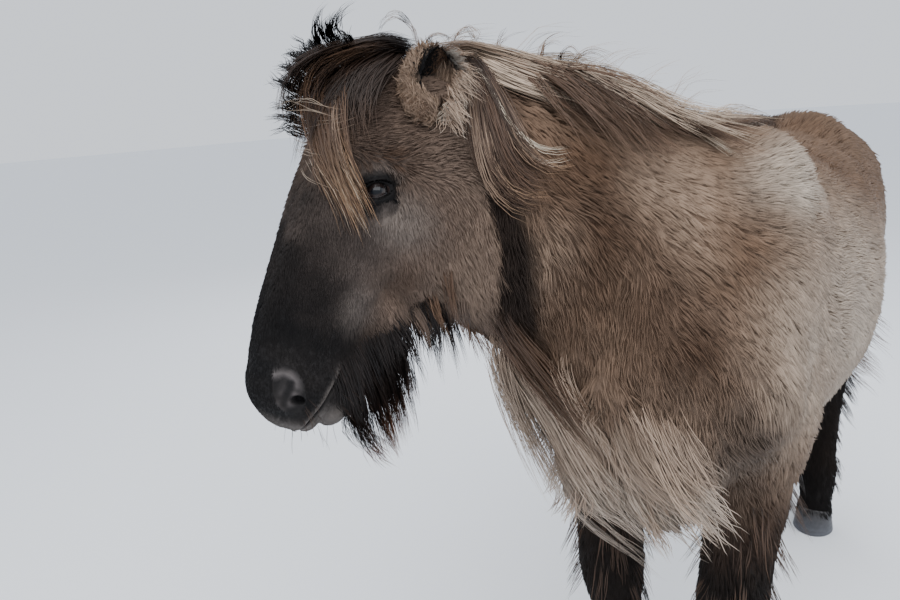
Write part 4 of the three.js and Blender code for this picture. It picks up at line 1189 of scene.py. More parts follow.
def tufts(name, roots, tips, outs, width, rise, colours, uv):
    """One mesh of closed blades: each has a sunk root, the two ends of a cross ridge and a tip."""
    ways = unit(tips - roots)
    side = unit(np.cross(ways, outs))
    middle = roots + (tips - roots) * RIDGE_SHARE + outs * (0.30 * rise + 0.3 * width)[:, None]
    start = roots - (outs + ways) * SUNK
    half = side * (0.5 * width)[:, None]
    points = np.stack([start, middle - half, middle + half, tips], 1)
    firsts = np.arange(len(roots)) * len(BLADE_PAINTED_SHADING)
    triangles = (firsts[:, None, None] + BLADE_FACES[None]).reshape(-1, 3)
    # Painted shade at each root and painted light at each tip
    shades = colours[:, None, :] * BLADE_PAINTED_SHADING[None, :, None]
    uvs = uv[:, None, :] + BLADE_MAP[None]
    normals = np.stack([outs, outs - side * 0.5, outs + side * 0.5, outs + ways * 0.15], 1)
    arrays = [a.reshape(-1, a.shape[-1]) for a in (points, shades, uvs, normals)]
    return make_mesh(name, arrays[0], triangles, *arrays[1:])


def scatter(points, triangles, weights, count):
    """Random places on triangles, the more the larger they are and the higher their weight."""
    a, b, c = (points[triangles[:, i]] for i in range(3))
    area = 0.5 * np.linalg.norm(np.cross(b - a, c - a), axis=-1) * weights
    chosen = rng.choice(len(triangles), count, p=area / area.sum())
    u, v = rng.random(count), rng.random(count)
    over = u + v > 1
    u[over], v[over] = 1 - u[over], 1 - v[over]
    place = a[chosen] + (b - a)[chosen] * u[:, None] + (c - a)[chosen] * v[:, None]
    return place, chosen


def gathered(roots, tips, per_clump, pull):
    """Tips drawn together in clumps, and the number of the clump that each belongs to."""
    count = max(len(roots) // per_clump, 1)
    centres = rng.choice(len(roots), count, replace=False)
    tree = KDTree(count)
    for i, centre in enumerate(centres):
        tree.insert(roots[centre], i)
    tree.balance()
    clump = np.array([tree.find(root)[1] for root in roots])
    goal = tips[centres[clump]] + 0.25 * (roots - roots[centres[clump]])
    return tips + (goal - tips) * pull[:, None], clump


# The short coat

FUR_TUFTS = 176000
FUR_PIECES = 4
FUR_CLUMP = 12
# How many tufts stand on a patch of each part, when the trunk has one
FUR_DENSITY = {"leg": 1.1, "neck": 1.25, "head": 2.8, "face": 5.6, "muzzle": 6.0, "far_side": 0.85}
FUR_LENGTH = {
    "flank": 0.042, "shoulder": 0.034, "neck": 0.036, "chest": 0.040, "leg": 0.038, "foot": 0.024,
    "forehead": 0.022, "nose": 0.012, "jaw": 0.027, "muzzle": 0.0045,
}
GROUND_ROOM = 0.004


def fur_weights(centres):
    """How densely each place on the skin is set with tufts."""
    r = Region(centres)
    q = r.q
    weight = mix(1.0, FUR_DENSITY["leg"], r.leg)
    for part in ("neck", "head", "face", "muzzle"):
        weight = mix(weight, FUR_DENSITY[part], getattr(r, part))
    near_side = (centres[:, 0] > -0.1) | (centres[:, 1] < -0.3)
    weight *= np.where(near_side, 1.0, FUR_DENSITY["far_side"])
    for side in (1, -1):
        edge, far, _, _ = lid_edge(q, side)
        bare = (far < 0.04) & (np.sign(q[:, 0]) == side) & (edge < 0.004)
        weight = np.where(bare, 0.0, weight)
    bowl, _, _, _, near = nostril_forms(q)
    weight = np.where(near & (bowl < 1.25), 0.0, weight)
    height, along = mouth_line(q)
    weight = np.where((np.abs(height) < 0.005) & (along > 0.3) & (r.head > 0.5), 0.0, weight)
    return np.where(centres[:, 2] < 0.05, 0.0, weight)


def fur_length(r):
    """How long the short coat is."""
    size = FUR_LENGTH
    length = mix(size["flank"], size["shoulder"], step01(0.1, -0.15, r.p[:, 1]))
    length = mix(length, size["neck"], r.neck)
    length = mix(length, size["chest"], r.chest * step01(1.05, 0.9, r.p[:, 2]))
    length = mix(length, size["leg"], r.leg)
    length = mix(length, size["foot"], step01(0.3, 0.12, r.p[:, 2]))
    head = mix(size["forehead"], size["nose"], step01(-0.08, -0.26, r.q[:, 2]))
    head = mix(head, size["jaw"], r.jaw * (1 - r.muzzle))
    head = mix(head, size["muzzle"], r.muzzle)
    from_lids, _ = eye_zone(r.q)
    head = head * mix(0.25, 1.0, step01(0.004, 0.03, from_lids))
    return mix(length, head, r.head)


def fur(points, triangles):
    """The short coat, as pieces of tufts."""
    roots, chosen = scatter(points, triangles, fur_weights(points[triangles].mean(1)), FUR_TUFTS)
    outs = unit(corner_normals(points, triangles)[triangles[chosen]].mean(1))
    order = np.argsort(roots[:, 1] + 0.02 * rng.random(len(roots)))
    roots, outs = roots[order], outs[order]
    r = Region(roots)
    ways = lie(r, outs)
    side = np.cross(ways, outs)
    ways = unit(ways + side * (rng.normal(0, 1, len(roots)) * mix(0.20, 0.12, r.face))[:, None])
    n = len(roots)
    full = fur_length(r)
    length = full * rng.uniform(0.6, 1.35, n) * mix(0.85, 1.2, noise(roots, 0.03, 11))
    width = 0.012 * full + 0.0006
    rise = coat_depth(r) * rng.uniform(0.6, 1.2, n) + 0.05 * length * rng.random(n) ** 2
    rise = np.minimum(rise, 0.5 * length)
    tips = roots + ways * length[:, None] + outs * rise[:, None]
    tips, clump = gathered(roots, tips, FUR_CLUMP, mix(0.42, 0.2, r.face))
    tips[:, 2] = np.maximum(tips[:, 2], GROUND_ROOM)
    own = rng.normal(1, 0.06, clump.max() + 1)[clump]
    tone = own * rng.normal(1, 0.07, n) * (0.86 + 0.28 * noise(roots, 0.02, 12))
    colours = markings(r) * np.clip(tone, 0.5, 1.5)[:, None]
    uv = unwrap(r)
    pieces = []
    for i, part in enumerate(np.array_split(np.arange(n), FUR_PIECES)):
        values = [v[part] for v in (roots, tips, outs, width, rise, colours, uv)]
        pieces.append(tufts(f"fur_{i + 1}", *values))
    return pieces


# Long hair: locks of strands round a guide

ROOT_SUNK = 0.008
# The depth of a lock in its width
LOCK_FLATNESS = 0.45


def grow(roots, headings, length, pull, droop, lift, steps, field):
    """Guides that start at roots and bend toward pull while they stay lift clear of the field."""
    _, way = slope(field, roots)
    out = unit(way)
    heading = unit(headings)
    p = roots - out * ROOT_SUNK
    path, outs = [p], [out]
    pull = unit(pull)
    for i in range(1, steps + 1):
        heading = unit(heading + pull * (droop / steps)[:, None])
        flat = unit(heading - out * np.minimum(dots(heading, out), 0)[:, None])
        p = p + flat * (length / steps)[:, None]
        want = lift * min(1, 2.5 * i / steps)
        distance, way = slope(field, p)
        out = unit(way)
        p = p + out * np.maximum(want - distance, 0)[:, None]
        p[:, 2] = np.maximum(p[:, 2], 2 * GROUND_ROOM)
        path.append(p)
        outs.append(out)
    return np.stack(path, 1), np.stack(outs, 1)


def strands(path, outs, per_lock, root_radius, tip_radius, wave=0.004, short=0.65, late=0.0):
    """Strands round each guide: points, ring frames, the lock of each and its share along the guide."""
    locks, stations = path.shape[:2]
    lock = np.repeat(np.arange(locks), per_lock)
    n = len(lock)
    end = rng.uniform(short, 1.0, n)[:, None]
    start = late * rng.random(n)[:, None] * end
    along_lock = start + np.linspace(0, 1, stations)[None, :] * (end - start)
    place = along_lock * (stations - 1)
    i = np.minimum(place.astype(int), stations - 2)
    f = (place - i)[..., None]
    rows = lock[:, None]
    centre = path[rows, i] * (1 - f) + path[rows, i + 1] * f
    out = unit(outs[rows, i] * (1 - f) + outs[rows, i + 1] * f)
    along = unit(np.gradient(centre, axis=1))
    side = unit(np.cross(along, out))
    up = np.cross(side, along)
    angle = rng.uniform(0, 2 * math.pi, n)
    radius = np.sqrt(rng.random(n))
    spread = mix(root_radius, tip_radius, along_lock)
    swing = wave * np.sin(rng.uniform(2, 9, n)[:, None] * along_lock + angle[:, None] * 3) * along_lock
    nod = 0.5 * wave * np.sin(rng.uniform(2, 9, n)[:, None] * along_lock + angle[:, None] * 5) * along_lock
    aside = (radius * np.cos(angle))[:, None] * spread + swing
    above = (radius * np.sin(angle))[:, None] * spread * LOCK_FLATNESS + nod
    points = centre + side * aside[..., None] + up * above[..., None]
    return points, side, up, lock, along_lock


def strand_mesh(name, groups):
    """One mesh of strands of three sides from groups of (strands, colours by station, uv)."""
    parts = {"points": [], "triangles": [], "colours": [], "uvs": [], "normals": []}
    count = 0
    for (points, side, up, width), colours, uv in groups:
        n, stations = points.shape[:2]
        share = np.linspace(0, 1, stations)[None, :]
        slim = np.minimum(1, 0.3 + 3 * share) * (1 - share**3) ** 0.8
        w = (width[:, None] * slim + 0.0002)[..., None]
        rings = np.stack([points - side * w / 2, points + up * w * 0.35, points + side * w / 2], 2)
        rings[:, -1] = points[:, -1][:, None, :] + (rings[:, -1] - points[:, -1][:, None, :]) * 0.15
        normals = np.stack([up - side * 0.7, up, up + side * 0.7], 2)
        faces = []
        for k in range(stations - 1):
            for c in range(3):
                a, b = 3 * k + c, 3 * k + (c + 1) % 3
                faces += [[a, b, b + 3], [a, b + 3, a + 3]]
        last = 3 * (stations - 1)
        faces += [[0, 2, 1], [last, last + 1, last + 2]]
        base = (count + np.arange(n) * stations * 3)[:, None, None]
        drift = np.stack([np.zeros(stations), share[0]], -1) * PATCH - 0.5 * PATCH
        ring_uv = np.repeat(uv[:, None, :] + drift[None], 3, axis=1)
        ring_uv[:, :, 0] += np.tile([-0.001, 0, 0.001], stations)[None]
        parts["points"].append(rings.reshape(-1, 3))
        parts["triangles"].append((base + np.array(faces)[None]).reshape(-1, 3))
        parts["colours"].append(np.repeat(colours, 3, axis=1).reshape(-1, 3))
        parts["uvs"].append(ring_uv.reshape(-1, 2))
        parts["normals"].append(normals.reshape(-1, 3))
        count += n * stations * 3
    return make_mesh(name, *(np.concatenate(a) for a in parts.values()))


def strand_tones(lock, along_lock, root, body, tip, tip_from=0.7, spread=0.22):
    """Colours by station: root to body to tip, with each lock and strand a little different."""
    locks = rng.normal(1, spread, lock.max() + 1)[lock]
    own = (locks * rng.normal(1, 0.13, len(lock)))[:, None, None]

    def rows(colour):
        return colour[None, None] if np.ndim(colour) == 1 else colour[lock][:, None]

    rise = step01(0.0, 0.3, along_lock)[..., None]
    end = step01(tip_from, 1.0, along_lock)[..., None]
    colour = rows(root) * (1 - rise) + rows(body) * rise
    colour = colour * (1 - end) + rows(tip) * end
    return colour * np.clip(own, 0.4, 1.7)


# The camera, and guides of hair that are drawn over the photograph as it sees them

PHOTO_WIDE, PHOTO_HIGH = 900, 600
CAMERA_PLACE = np.array([0.39, -1.37, 1.422])
CAMERA_YAW, CAMERA_PITCH, CAMERA_ROLL = 35.3, 14.9, -4.0
LENS, SENSOR = 28, 36
# How far along its sight line a drawn point may lie, and how much it may differ from its neighbour
SIGHT_NEAR, SIGHT_FAR, SIGHT_JUMP = 0.6, 2.0, 0.05
SIGHT_STEPS = 60
SIGHT_STRIDE = 0.7
SIGHT_CLOSE = 0.001


def camera_ways():
    """The directions right, up and ahead of the camera."""
    yaw, pitch, roll = (math.radians(a) for a in (CAMERA_YAW, CAMERA_PITCH, CAMERA_ROLL))
    ahead = np.array([-math.sin(yaw) * math.cos(pitch), math.cos(yaw) * math.cos(pitch), -math.sin(pitch)])
    right = np.array([math.cos(yaw), math.sin(yaw), 0])
    up = np.cross(right, ahead)
    rolled = math.cos(roll) * right + math.sin(roll) * up
    return rolled, math.cos(roll) * up - math.sin(roll) * right, ahead


def sights(places):
    """Directions from the camera through places of the photograph, in its pixels."""
    right, up, ahead = camera_ways()
    scale = SENSOR / LENS / PHOTO_WIDE
    x = (places[:, 0] - PHOTO_WIDE / 2) * scale
    y = (PHOTO_HIGH / 2 - places[:, 1]) * scale
    return unit(ahead + right * x[:, None] + up * y[:, None])


def first_met(ways):
    """How far along each sight line the coat is met or, if it is missed, comes closest."""
    far = np.full(len(ways), SIGHT_NEAR)
    best, found = np.full(len(ways), 9.0), far.copy()
    for _ in range(SIGHT_STEPS):
        distance = horse_field(CAMERA_PLACE + ways * far[:, None])
        closer = (distance < best) & (best > SIGHT_CLOSE)
        best, found = np.where(closer, distance, best), np.where(closer, far, found)
        far = np.minimum(far + np.maximum(SIGHT_STRIDE * distance, SIGHT_CLOSE), SIGHT_FAR)
    return found


def drawn(lines, steps):
    """Smooth guides through lines of [x, y, lift in mm], laid on the coat as the camera sees it."""
    guides = []
    for line in lines:
        line = np.array(line, float)
        ways = sights(line[:, :2])
        far = first_met(ways)
        for i in range(1, len(far)):
            far[i] = np.clip(far[i], far[i - 1] - SIGHT_JUMP, far[i - 1] + SIGHT_JUMP)
        points = CAMERA_PLACE + ways * (far - line[:, 2] * MM)[:, None]
        reach = np.concatenate([[0], np.cumsum(np.linalg.norm(np.diff(points, axis=0), axis=-1))])
        rows = np.concatenate([(reach / reach[-1])[:, None], points], 1)
        guides.append(curve(rows, np.linspace(0, 1, steps + 1)))
    return np.stack(guides)


# How far laid locks stay clear of the coat, how far they may be pushed for it, and how deep they start
LAID_LIFT = 0.004
LAID_PUSH = 0.03
LAID_SUNK = 0.012


def laid_locks(lines, count, per_lock, radii, width, tones, steps=12, jitter=0.004, **more):
    """Locks laid at random between neighbouring lines of a row that is drawn over the photograph.

    See lock_strands for what radii, width, tones and more are.
    """
    guides = drawn(lines, steps)
    share = np.linspace(0, 1, steps + 1)[None, :, None]
    if len(guides) > 1:
        place = between(0, len(guides) - 1, count)
        i = np.minimum(place.astype(int), len(guides) - 2)
        f = (place - i)[:, None, None]
        path = guides[i] * (1 - f) + guides[i + 1] * f
    else:
        path = np.repeat(guides, count, 0)
    path = path + rng.normal(0, jitter, (count, 1, 3)) + rng.normal(0, 1.5 * jitter, (count, 1, 3)) * share
    flat = path.reshape(-1, 3)
    distance, way = slope(horse_field, flat)
    out = unit(way)
    lift = (LAID_LIFT * np.minimum(1, 6 * share) + 0 * path[..., :1]).reshape(-1)
    flat = flat + out * np.clip(lift - distance, 0, LAID_PUSH)[:, None]
    path, outs = flat.reshape(path.shape), out.reshape(path.shape)
    path[:, 0] = path[:, 0] - outs[:, 0] * more.get("sunk", LAID_SUNK)
    path[..., 2] = np.maximum(path[..., 2], 2 * GROUND_ROOM)
    return lock_strands(path, outs, per_lock, radii, width, tones, **more)


def lock_strands(path, outs, per_lock, radii, width, tones, **more):
    """Strands round guides, with their colours and map places.

    radii are those of a lock at its root and its tip, width is the range of the strands' widths, and
    tones are the colours of root, body and tip. Of more, wave is how far strands swing, short the least
    share of the guide at which one ends, late the greatest at which one starts, tip_from where the tip's
    colour begins and spread how much the locks differ in tone.
    """
    shape = {key: more[key] for key in ("wave", "short", "late") if key in more}
    points, side, up, lock, along_lock = strands(path, outs, per_lock, *radii, **shape)
    widths = rng.uniform(*width, len(lock))
    tip_from, spread = more.get("tip_from", 0.7), more.get("spread", 0.16)
    colours = strand_tones(lock, along_lock, *tones, tip_from=tip_from, spread=spread)
    uv = unwrap(Region(path[:, 0]))[lock]
    return (points, side, up, widths), colours, uv


def lock_group(roots, headings, length, pull, droop, lift, per_lock, radii, width, tones, steps=9, **more):
    """Locks of hair that grow from roots."""
    field = more.get("field", horse_field)
    path, outs = grow(roots, headings, length, pull, droop, lift, steps, field)
    return lock_strands(path, outs, per_lock, radii, width, tones, **more)


CREST_END = 3.95
CREST_LIFT = 0.03


def crest_places(t, aside):
    """Roots on the crest, from the withers at 0 to the end of the neck at 4 and the poll at 5."""
    centre, along, left, up, half_depth, _ = neck_frame(np.minimum(t, CREST_END))
    start = centre + up * (half_depth + CREST_LIFT)[:, None] + left * aside[:, None]
    on_head = (t > 4)[:, None]
    share = np.clip(t - 4, 0, 1)
    top = from_head(np.stack([aside, mix(0.20, 0.07, share), np.full(len(t), 0.09)], -1))
    start = np.where(on_head, top, start)
    along = np.where(on_head, head_way([0, -1, 0.1]), along)
    left = np.where(on_head, head_way([1, 0, 0]), left)
    up = np.where(on_head, head_way([0, 0.1, 1]), up)
    return on_surface(horse_field, start), along, left, up


def mane_group(count, reach, aside, sideways, back, rise, drop, droop, length, lift, per_lock, spread, tones):
    """Locks of the mane with roots between two stations of the crest; most fall to the left."""
    t = between(*reach, count)
    side = np.where(rng.random(count) < 0.7, 1.0, -1.0)
    roots, along, left, up = crest_places(t, between(*aside, count) * side)
    headings = (
        left * (side * between(*sideways, count))[:, None]
        - along * between(*back, count)[:, None]
        + up * between(*rise, count)[:, None]
    )
    pull = np.stack([0.25 * side, between(*drop, count), -np.ones(count)], -1)
    size = between(*length, count) * mix(0.65, 1.0, np.clip(t / 2.5, 0, 1))
    return lock_group(
        roots, headings, size, pull, between(*droop, count), between(*lift, count), per_lock,
        (spread, spread * 0.6), (0.0009, 0.0019), tones, steps=7, wave=0.010, spread=0.24, short=0.5,
    )


# Lines of hair that the photograph shows: points of [x, y, lift off the coat in mm], in its pixels

FORELOCK_DARK = [
    [(415, 37, 2), (380, 42, 8), (345, 46, 12), (312, 54, 12), (290, 70, 10), (282, 95, 8),
     (284, 128, 6)],
    [(415, 37, 2), (382, 42, 8), (348, 49, 12), (316, 60, 14), (300, 80, 12), (293, 106, 10),
     (298, 140, 6)],
    [(415, 38, 2), (385, 43, 10), (352, 54, 14), (325, 70, 14), (310, 95, 12), (306, 122, 8),
     (312, 150, 6)],
    [(415, 40, 2), (390, 46, 10), (362, 58, 14), (342, 76, 14), (333, 102, 12), (334, 128, 8),
     (342, 155, 6)],
    [(418, 43, 2), (400, 50, 6), (378, 64, 10), (362, 82, 10), (354, 105, 8), (356, 125, 6),
     (362, 146, 4)],
    [(424, 50, 2), (408, 56, 6), (390, 70, 8), (376, 88, 8), (368, 106, 6), (368, 120, 4),
     (372, 134, 2)],
]

FORELOCK_GOLD = [
    [(395, 38, 8), (352, 46, 18), (318, 60, 18), (305, 82, 16), (308, 110, 16), (316, 142, 14),
     (330, 185, 12), (344, 215, 10), (352, 240, 8)],
    [(395, 40, 8), (362, 52, 18), (336, 70, 20), (322, 95, 18), (321, 120, 18), (328, 148, 16),
     (345, 185, 14), (360, 212, 12), (372, 236, 8)],
    [(398, 42, 8), (372, 52, 18), (352, 70, 20), (342, 95, 18), (339, 120, 18), (341, 145, 16),
     (350, 172, 14), (362, 200, 12), (374, 222, 8)],
]

FORELOCK_TAIL = [
    [(362, 48, 8), (322, 62, 12), (304, 92, 12), (312, 134, 12), (327, 166, 14), (342, 193, 12),
     (353, 216, 10), (361, 238, 8)],
    [(370, 48, 8), (338, 64, 12), (318, 94, 12), (325, 136, 14), (338, 162, 16), (351, 187, 14),
     (361, 208, 12), (371, 232, 8)],
]

FORELOCK_ACROSS = [
    [(352, 120, 8), (334, 117, 18), (312, 112, 20), (292, 116, 16), (274, 124, 10)],
    [(360, 116, 8), (338, 126, 18), (314, 127, 20), (296, 122, 16), (282, 130, 10)],
    [(288, 130, 6), (298, 146, 14), (320, 154, 20), (340, 158, 18), (352, 172, 12)],
    [(300, 156, 6), (312, 170, 14), (330, 178, 16), (350, 190, 12)],
]

FORELOCK_UPRIGHT = [
    [(326, 50, 0), (319, 38, 0), (318, 27, 0), (322, 14, 0), (331, 4, 0)],
    [(334, 48, 0), (326, 34, 0), (328, 22, 0), (334, 10, 0)],
    [(344, 44, 0), (334, 33, 0), (335, 22, 0), (343, 11, 0), (358, 2, 0)],
    [(352, 42, 0), (347, 33, 0), (345, 24, 0)],
]

FORELOCK_FUZZ = [
    [(322, 54, 0), (311, 46, 0), (304, 41, 0)],
    [(312, 60, 0), (299, 54, 0), (289, 51, 0)],
    [(305, 70, 0), (292, 65, 0), (285, 63, 0)],
    [(300, 84, 0), (288, 77, 0), (279, 75, 0)],
    [(298, 98, 0), (286, 92, 0), (276, 90, 0)],
    [(298, 112, 0), (284, 106, 0), (273, 106, 0)],
    [(298, 124, 0), (284, 120, 0), (275, 124, 0)],
]

MANE_BEHIND_EAR = [
    [(456, 52, 4), (466, 72, 10), (469, 105, 14), (474, 150, 16), (484, 182, 16), (502, 201, 14),
     (522, 210, 10), (546, 211, 6)],
    [(458, 50, 4), (474, 68, 10), (484, 98, 14), (491, 132, 16), (499, 165, 16), (512, 186, 14),
     (530, 198, 10), (550, 200, 6)],
    [(462, 50, 4), (482, 68, 10), (498, 94, 14), (512, 122, 14), (526, 146, 12), (542, 160, 10),
     (556, 166, 8), (572, 162, 5)],
]

MANE_TOP = [
    [(432, 40, 0), (470, 44, 4), (512, 53, 6), (552, 64, 8), (592, 78, 8), (632, 92, 8),
     (672, 110, 6), (706, 130, 4)],
    [(436, 44, 2), (474, 52, 6), (514, 64, 8), (554, 76, 10), (594, 90, 10), (634, 104, 8),
     (672, 122, 5)],
    [(446, 50, 2), (478, 60, 8), (512, 73, 10), (548, 86, 12), (588, 99, 10), (624, 112, 8),
     (660, 126, 4)],
    [(452, 52, 2), (480, 66, 8), (505, 80, 12), (535, 90, 12), (566, 100, 10), (600, 112, 6)],
]

MANE_STREAKS = [
    [(446, 50, 10), (464, 59, 16), (480, 72, 18), (492, 92, 20), (503, 112, 20), (517, 132, 20),
     (535, 147, 18), (553, 153, 16), (576, 148, 10)],
    [(470, 60, 12), (486, 80, 18), (497, 104, 20), (508, 128, 20), (524, 150, 20), (540, 162, 18),
     (554, 163, 14), (572, 156, 10)],
]

MANE_WISPS = [
    [(572, 66, 0), (580, 53, 0), (592, 47, 0), (606, 50, 0), (616, 58, 0)],
    [(538, 60, 0), (543, 47, 0), (555, 41, 0), (568, 44, 0)],
    [(556, 68, 0), (558, 54, 0), (566, 48, 0), (574, 58, 0), (578, 68, 0)],
    [(498, 52, 0), (502, 42, 0), (510, 33, 0)],
    [(450, 44, 0), (458, 30, 0), (469, 24, 0), (477, 34, 0), (480, 46, 0)],
    [(416, 36, 0), (405, 22, 0), (393, 12, 0), (382, 16, 0), (373, 27, 0)],
    [(425, 42, 0), (430, 32, 0), (440, 30, 0), (450, 38, 0)],
]

WITHERS_LOCK = [
    [(628, 88, 0), (660, 96, 0), (682, 116, 0), (704, 136, 0), (724, 149, 0), (744, 160, 0)],
    [(640, 100, 4), (668, 112, 4), (690, 130, 4), (706, 143, 3), (726, 155, 2)],
]

BEARD_NEAR = [
    [(336, 374, 0), (341, 396, 4), (345, 420, 0), (354, 440, 0), (376, 458, 0)],
    [(350, 358, 2), (357, 390, 8), (364, 422, 4), (376, 446, 0), (394, 464, 0)],
    [(364, 345, 2), (374, 378, 10), (384, 412, 6), (394, 440, 0), (400, 458, 0)],
    [(382, 335, 2), (390, 362, 10), (399, 392, 6), (406, 430, 0)],
    [(398, 325, 2), (405, 346, 8), (412, 370, 4), (416, 396, 0)],
]

BEARD_BACK = [
    [(404, 316, 2), (412, 332, 6), (418, 348, 2), (420, 366, 0)],
    [(424, 308, 2), (432, 322, 5), (438, 334, 2), (442, 350, 0)],
    [(448, 304, 2), (454, 314, 5), (458, 324, 2), (461, 337, 0)],
    [(470, 296, 2), (474, 308, 4), (477, 318, 2), (479, 330, 0)],
]

CHEST_LEFT = [
    [(488, 335, 2), (496, 368, 6), (506, 400, 6), (522, 440, 4), (542, 478, 2), (560, 508, 0)],
    [(496, 342, 4), (514, 376, 10), (534, 412, 10), (556, 450, 8), (578, 488, 4), (598, 512, 0)],
    [(502, 346, 4), (532, 378, 12), (560, 412, 12), (586, 450, 10), (612, 484, 6), (642, 506, 2)],
]

CHEST_PARTING = [
    [(488, 310, 4), (504, 338, 10), (528, 370, 12), (556, 400, 12), (580, 428, 10), (604, 456, 6)],
    [(506, 322, 4), (526, 346, 10), (548, 372, 12), (570, 400, 12), (592, 430, 10), (614, 460, 6)],
]

EAR_BACK_FRINGE = [
    [(452, 52, 36), (460, 54, 38), (469, 58, 36)],
    [(456, 66, 38), (465, 72, 38), (474, 82, 32)],
    [(456, 84, 36), (464, 92, 36), (472, 104, 30)],
    [(452, 100, 32), (459, 110, 34), (466, 122, 28)],
    [(447, 112, 28), (453, 122, 28), (458, 134, 22)],
]

CHEST_STREAKS = [
    [(500, 352, 8), (526, 364, 12), (556, 384, 12), (582, 412, 12), (606, 446, 8)],
    [(562, 352, 4), (569, 374, 8), (580, 398, 10), (594, 424, 10), (612, 448, 6)],
]

CHEST_RIGHT = [
    [(600, 400, 0), (608, 428, 6), (622, 460, 8), (650, 488, 6), (690, 506, 2)],
    [(640, 405, 0), (652, 432, 6), (668, 464, 8), (696, 494, 6), (724, 514, 2)],
    [(676, 420, 0), (688, 446, 4), (704, 476, 6), (722, 506, 2)],
]

CHEST_LOW = [
    [(556, 478, 4), (574, 506, 8), (600, 532, 8), (636, 556, 6), (672, 582, 4)],
    [(596, 484, 4), (620, 510, 8), (646, 536, 8), (664, 562, 5)],
    [(652, 478, 4), (678, 504, 8), (704, 528, 8), (724, 542, 4)],
    [(690, 478, 4), (708, 500, 8), (722, 518, 6), (730, 530, 4)],
]

FINE_HAIR = (0.0008, 0.0016)


def mane():
    """The mane in two pieces: a dark layer of locks, and fair locks, streaks and wisps over it."""
    dark = (DEEP * 0.8, mix(DEEP, BROWN, 0.6), BROWN)
    deepest = (DEEP * 0.6, mix(DEEP, BROWN, 0.3), mix(DEEP, BROWN, 0.7))
    light = (mix(BROWN, TAUPE, 0.3), mix(TAUPE, BLOND, 0.2), mix(TAUPE, BLOND, 0.6))
    middling = (BROWN, mix(BROWN, TAUPE, 0.4), TAUPE)
    golden = (BROWN, mix(BROWN, TAUPE, 0.5), GOLD)
    dull = (BROWN, mix(BROWN, TAUPE, 0.4), DEEP)
    under = [
        mane_group(
            count=62, reach=(0.5, 4.0), aside=(0.0, 0.05), sideways=(0.3, 1.0), back=(0.7, 1.4),
            rise=(0.0, 0.3), drop=(0.4, 1.0), droop=(0.8, 1.8), length=(0.18, 0.28), lift=(0.002, 0.016),
            per_lock=14, spread=0.018, tones=dark,
        ),
        mane_group(
            count=34, reach=(2.9, 4.2), aside=(-0.01, 0.05), sideways=(0.7, 1.2), back=(0.1, 0.8),
            rise=(0.0, 0.3), drop=(0.0, 0.6), droop=(1.6, 3.2), length=(0.20, 0.31), lift=(0.002, 0.012),
            per_lock=14, spread=0.015, tones=dark,
        ),
        laid_locks(
            MANE_BEHIND_EAR, 44, 15, (0.012, 0.008), FINE_HAIR, deepest,
            steps=9, wave=0.006, spread=0.3, late=0.15, short=0.55,
        ),
    ]
    over = [
        mane_group(
            count=44, reach=(0.5, 4.0), aside=(0.0, 0.045), sideways=(0.2, 0.8), back=(0.8, 1.5),
            rise=(0.1, 0.5), drop=(0.5, 1.1), droop=(0.7, 1.6), length=(0.20, 0.32), lift=(0.014, 0.034),
            per_lock=14, spread=0.016, tones=light,
        ),
        laid_locks(
            MANE_TOP, 66, 15, (0.015, 0.011), FINE_HAIR, light,
            steps=9, wave=0.008, spread=0.26, late=0.35, short=0.45,
        ),
        laid_locks(
            MANE_TOP, 22, 15, (0.015, 0.011), FINE_HAIR, middling,
            steps=9, wave=0.008, spread=0.26, late=0.3, short=0.45,
        ),
        laid_locks(
            MANE_BEHIND_EAR, 10, 13, (0.007, 0.007), FINE_HAIR, golden,
            steps=10, wave=0.006, tip_from=0.6, late=0.2,
        ),
        laid_locks(
            MANE_STREAKS[:1], 3, 8, (0.004, 0.004), (0.0005, 0.0010), (TAUPE, BLOND * 0.9, BLOND * 0.8),
            steps=12, jitter=0.003, wave=0.003, short=0.7, late=0.15,
        ),
        laid_locks(
            MANE_STREAKS[1:], 2, 12, (0.004, 0.004), (0.0007, 0.0012), (BROWN, TAUPE, BLOND * 0.8),
            steps=12, jitter=0.003, wave=0.003, short=0.7, late=0.2,
        ),
        laid_locks(
            WITHERS_LOCK, 8, 13, (0.006, 0.004), FINE_HAIR, (DEEP, BROWN, BLOND),
            steps=9, wave=0.005, late=0.2,
        ),
        laid_locks(
            EAR_BACK_FRINGE, 74, 6, (0.007, 0.008), (0.0004, 0.0008), (BROWN, TAUPE, CREAM),
            steps=3, jitter=0.006, sunk=0.0, short=0.4, wave=0.005, spread=0.2,
        ),
    ]
    for wisp in MANE_WISPS:
        over.append(laid_locks(
            [wisp], 2, 7, (0.005, 0.005), (0.0005, 0.0010), dull,
            steps=10, jitter=0.003, short=0.7, wave=0.005,
        ))
    return strand_mesh("mane_under", under), strand_mesh("mane_over", over)


def head_places(x, y, z):
    """Places on the coat of the head, from their numbers in its frame."""
    return on_surface(horse_field, from_head(np.stack([x, y, z], -1)))


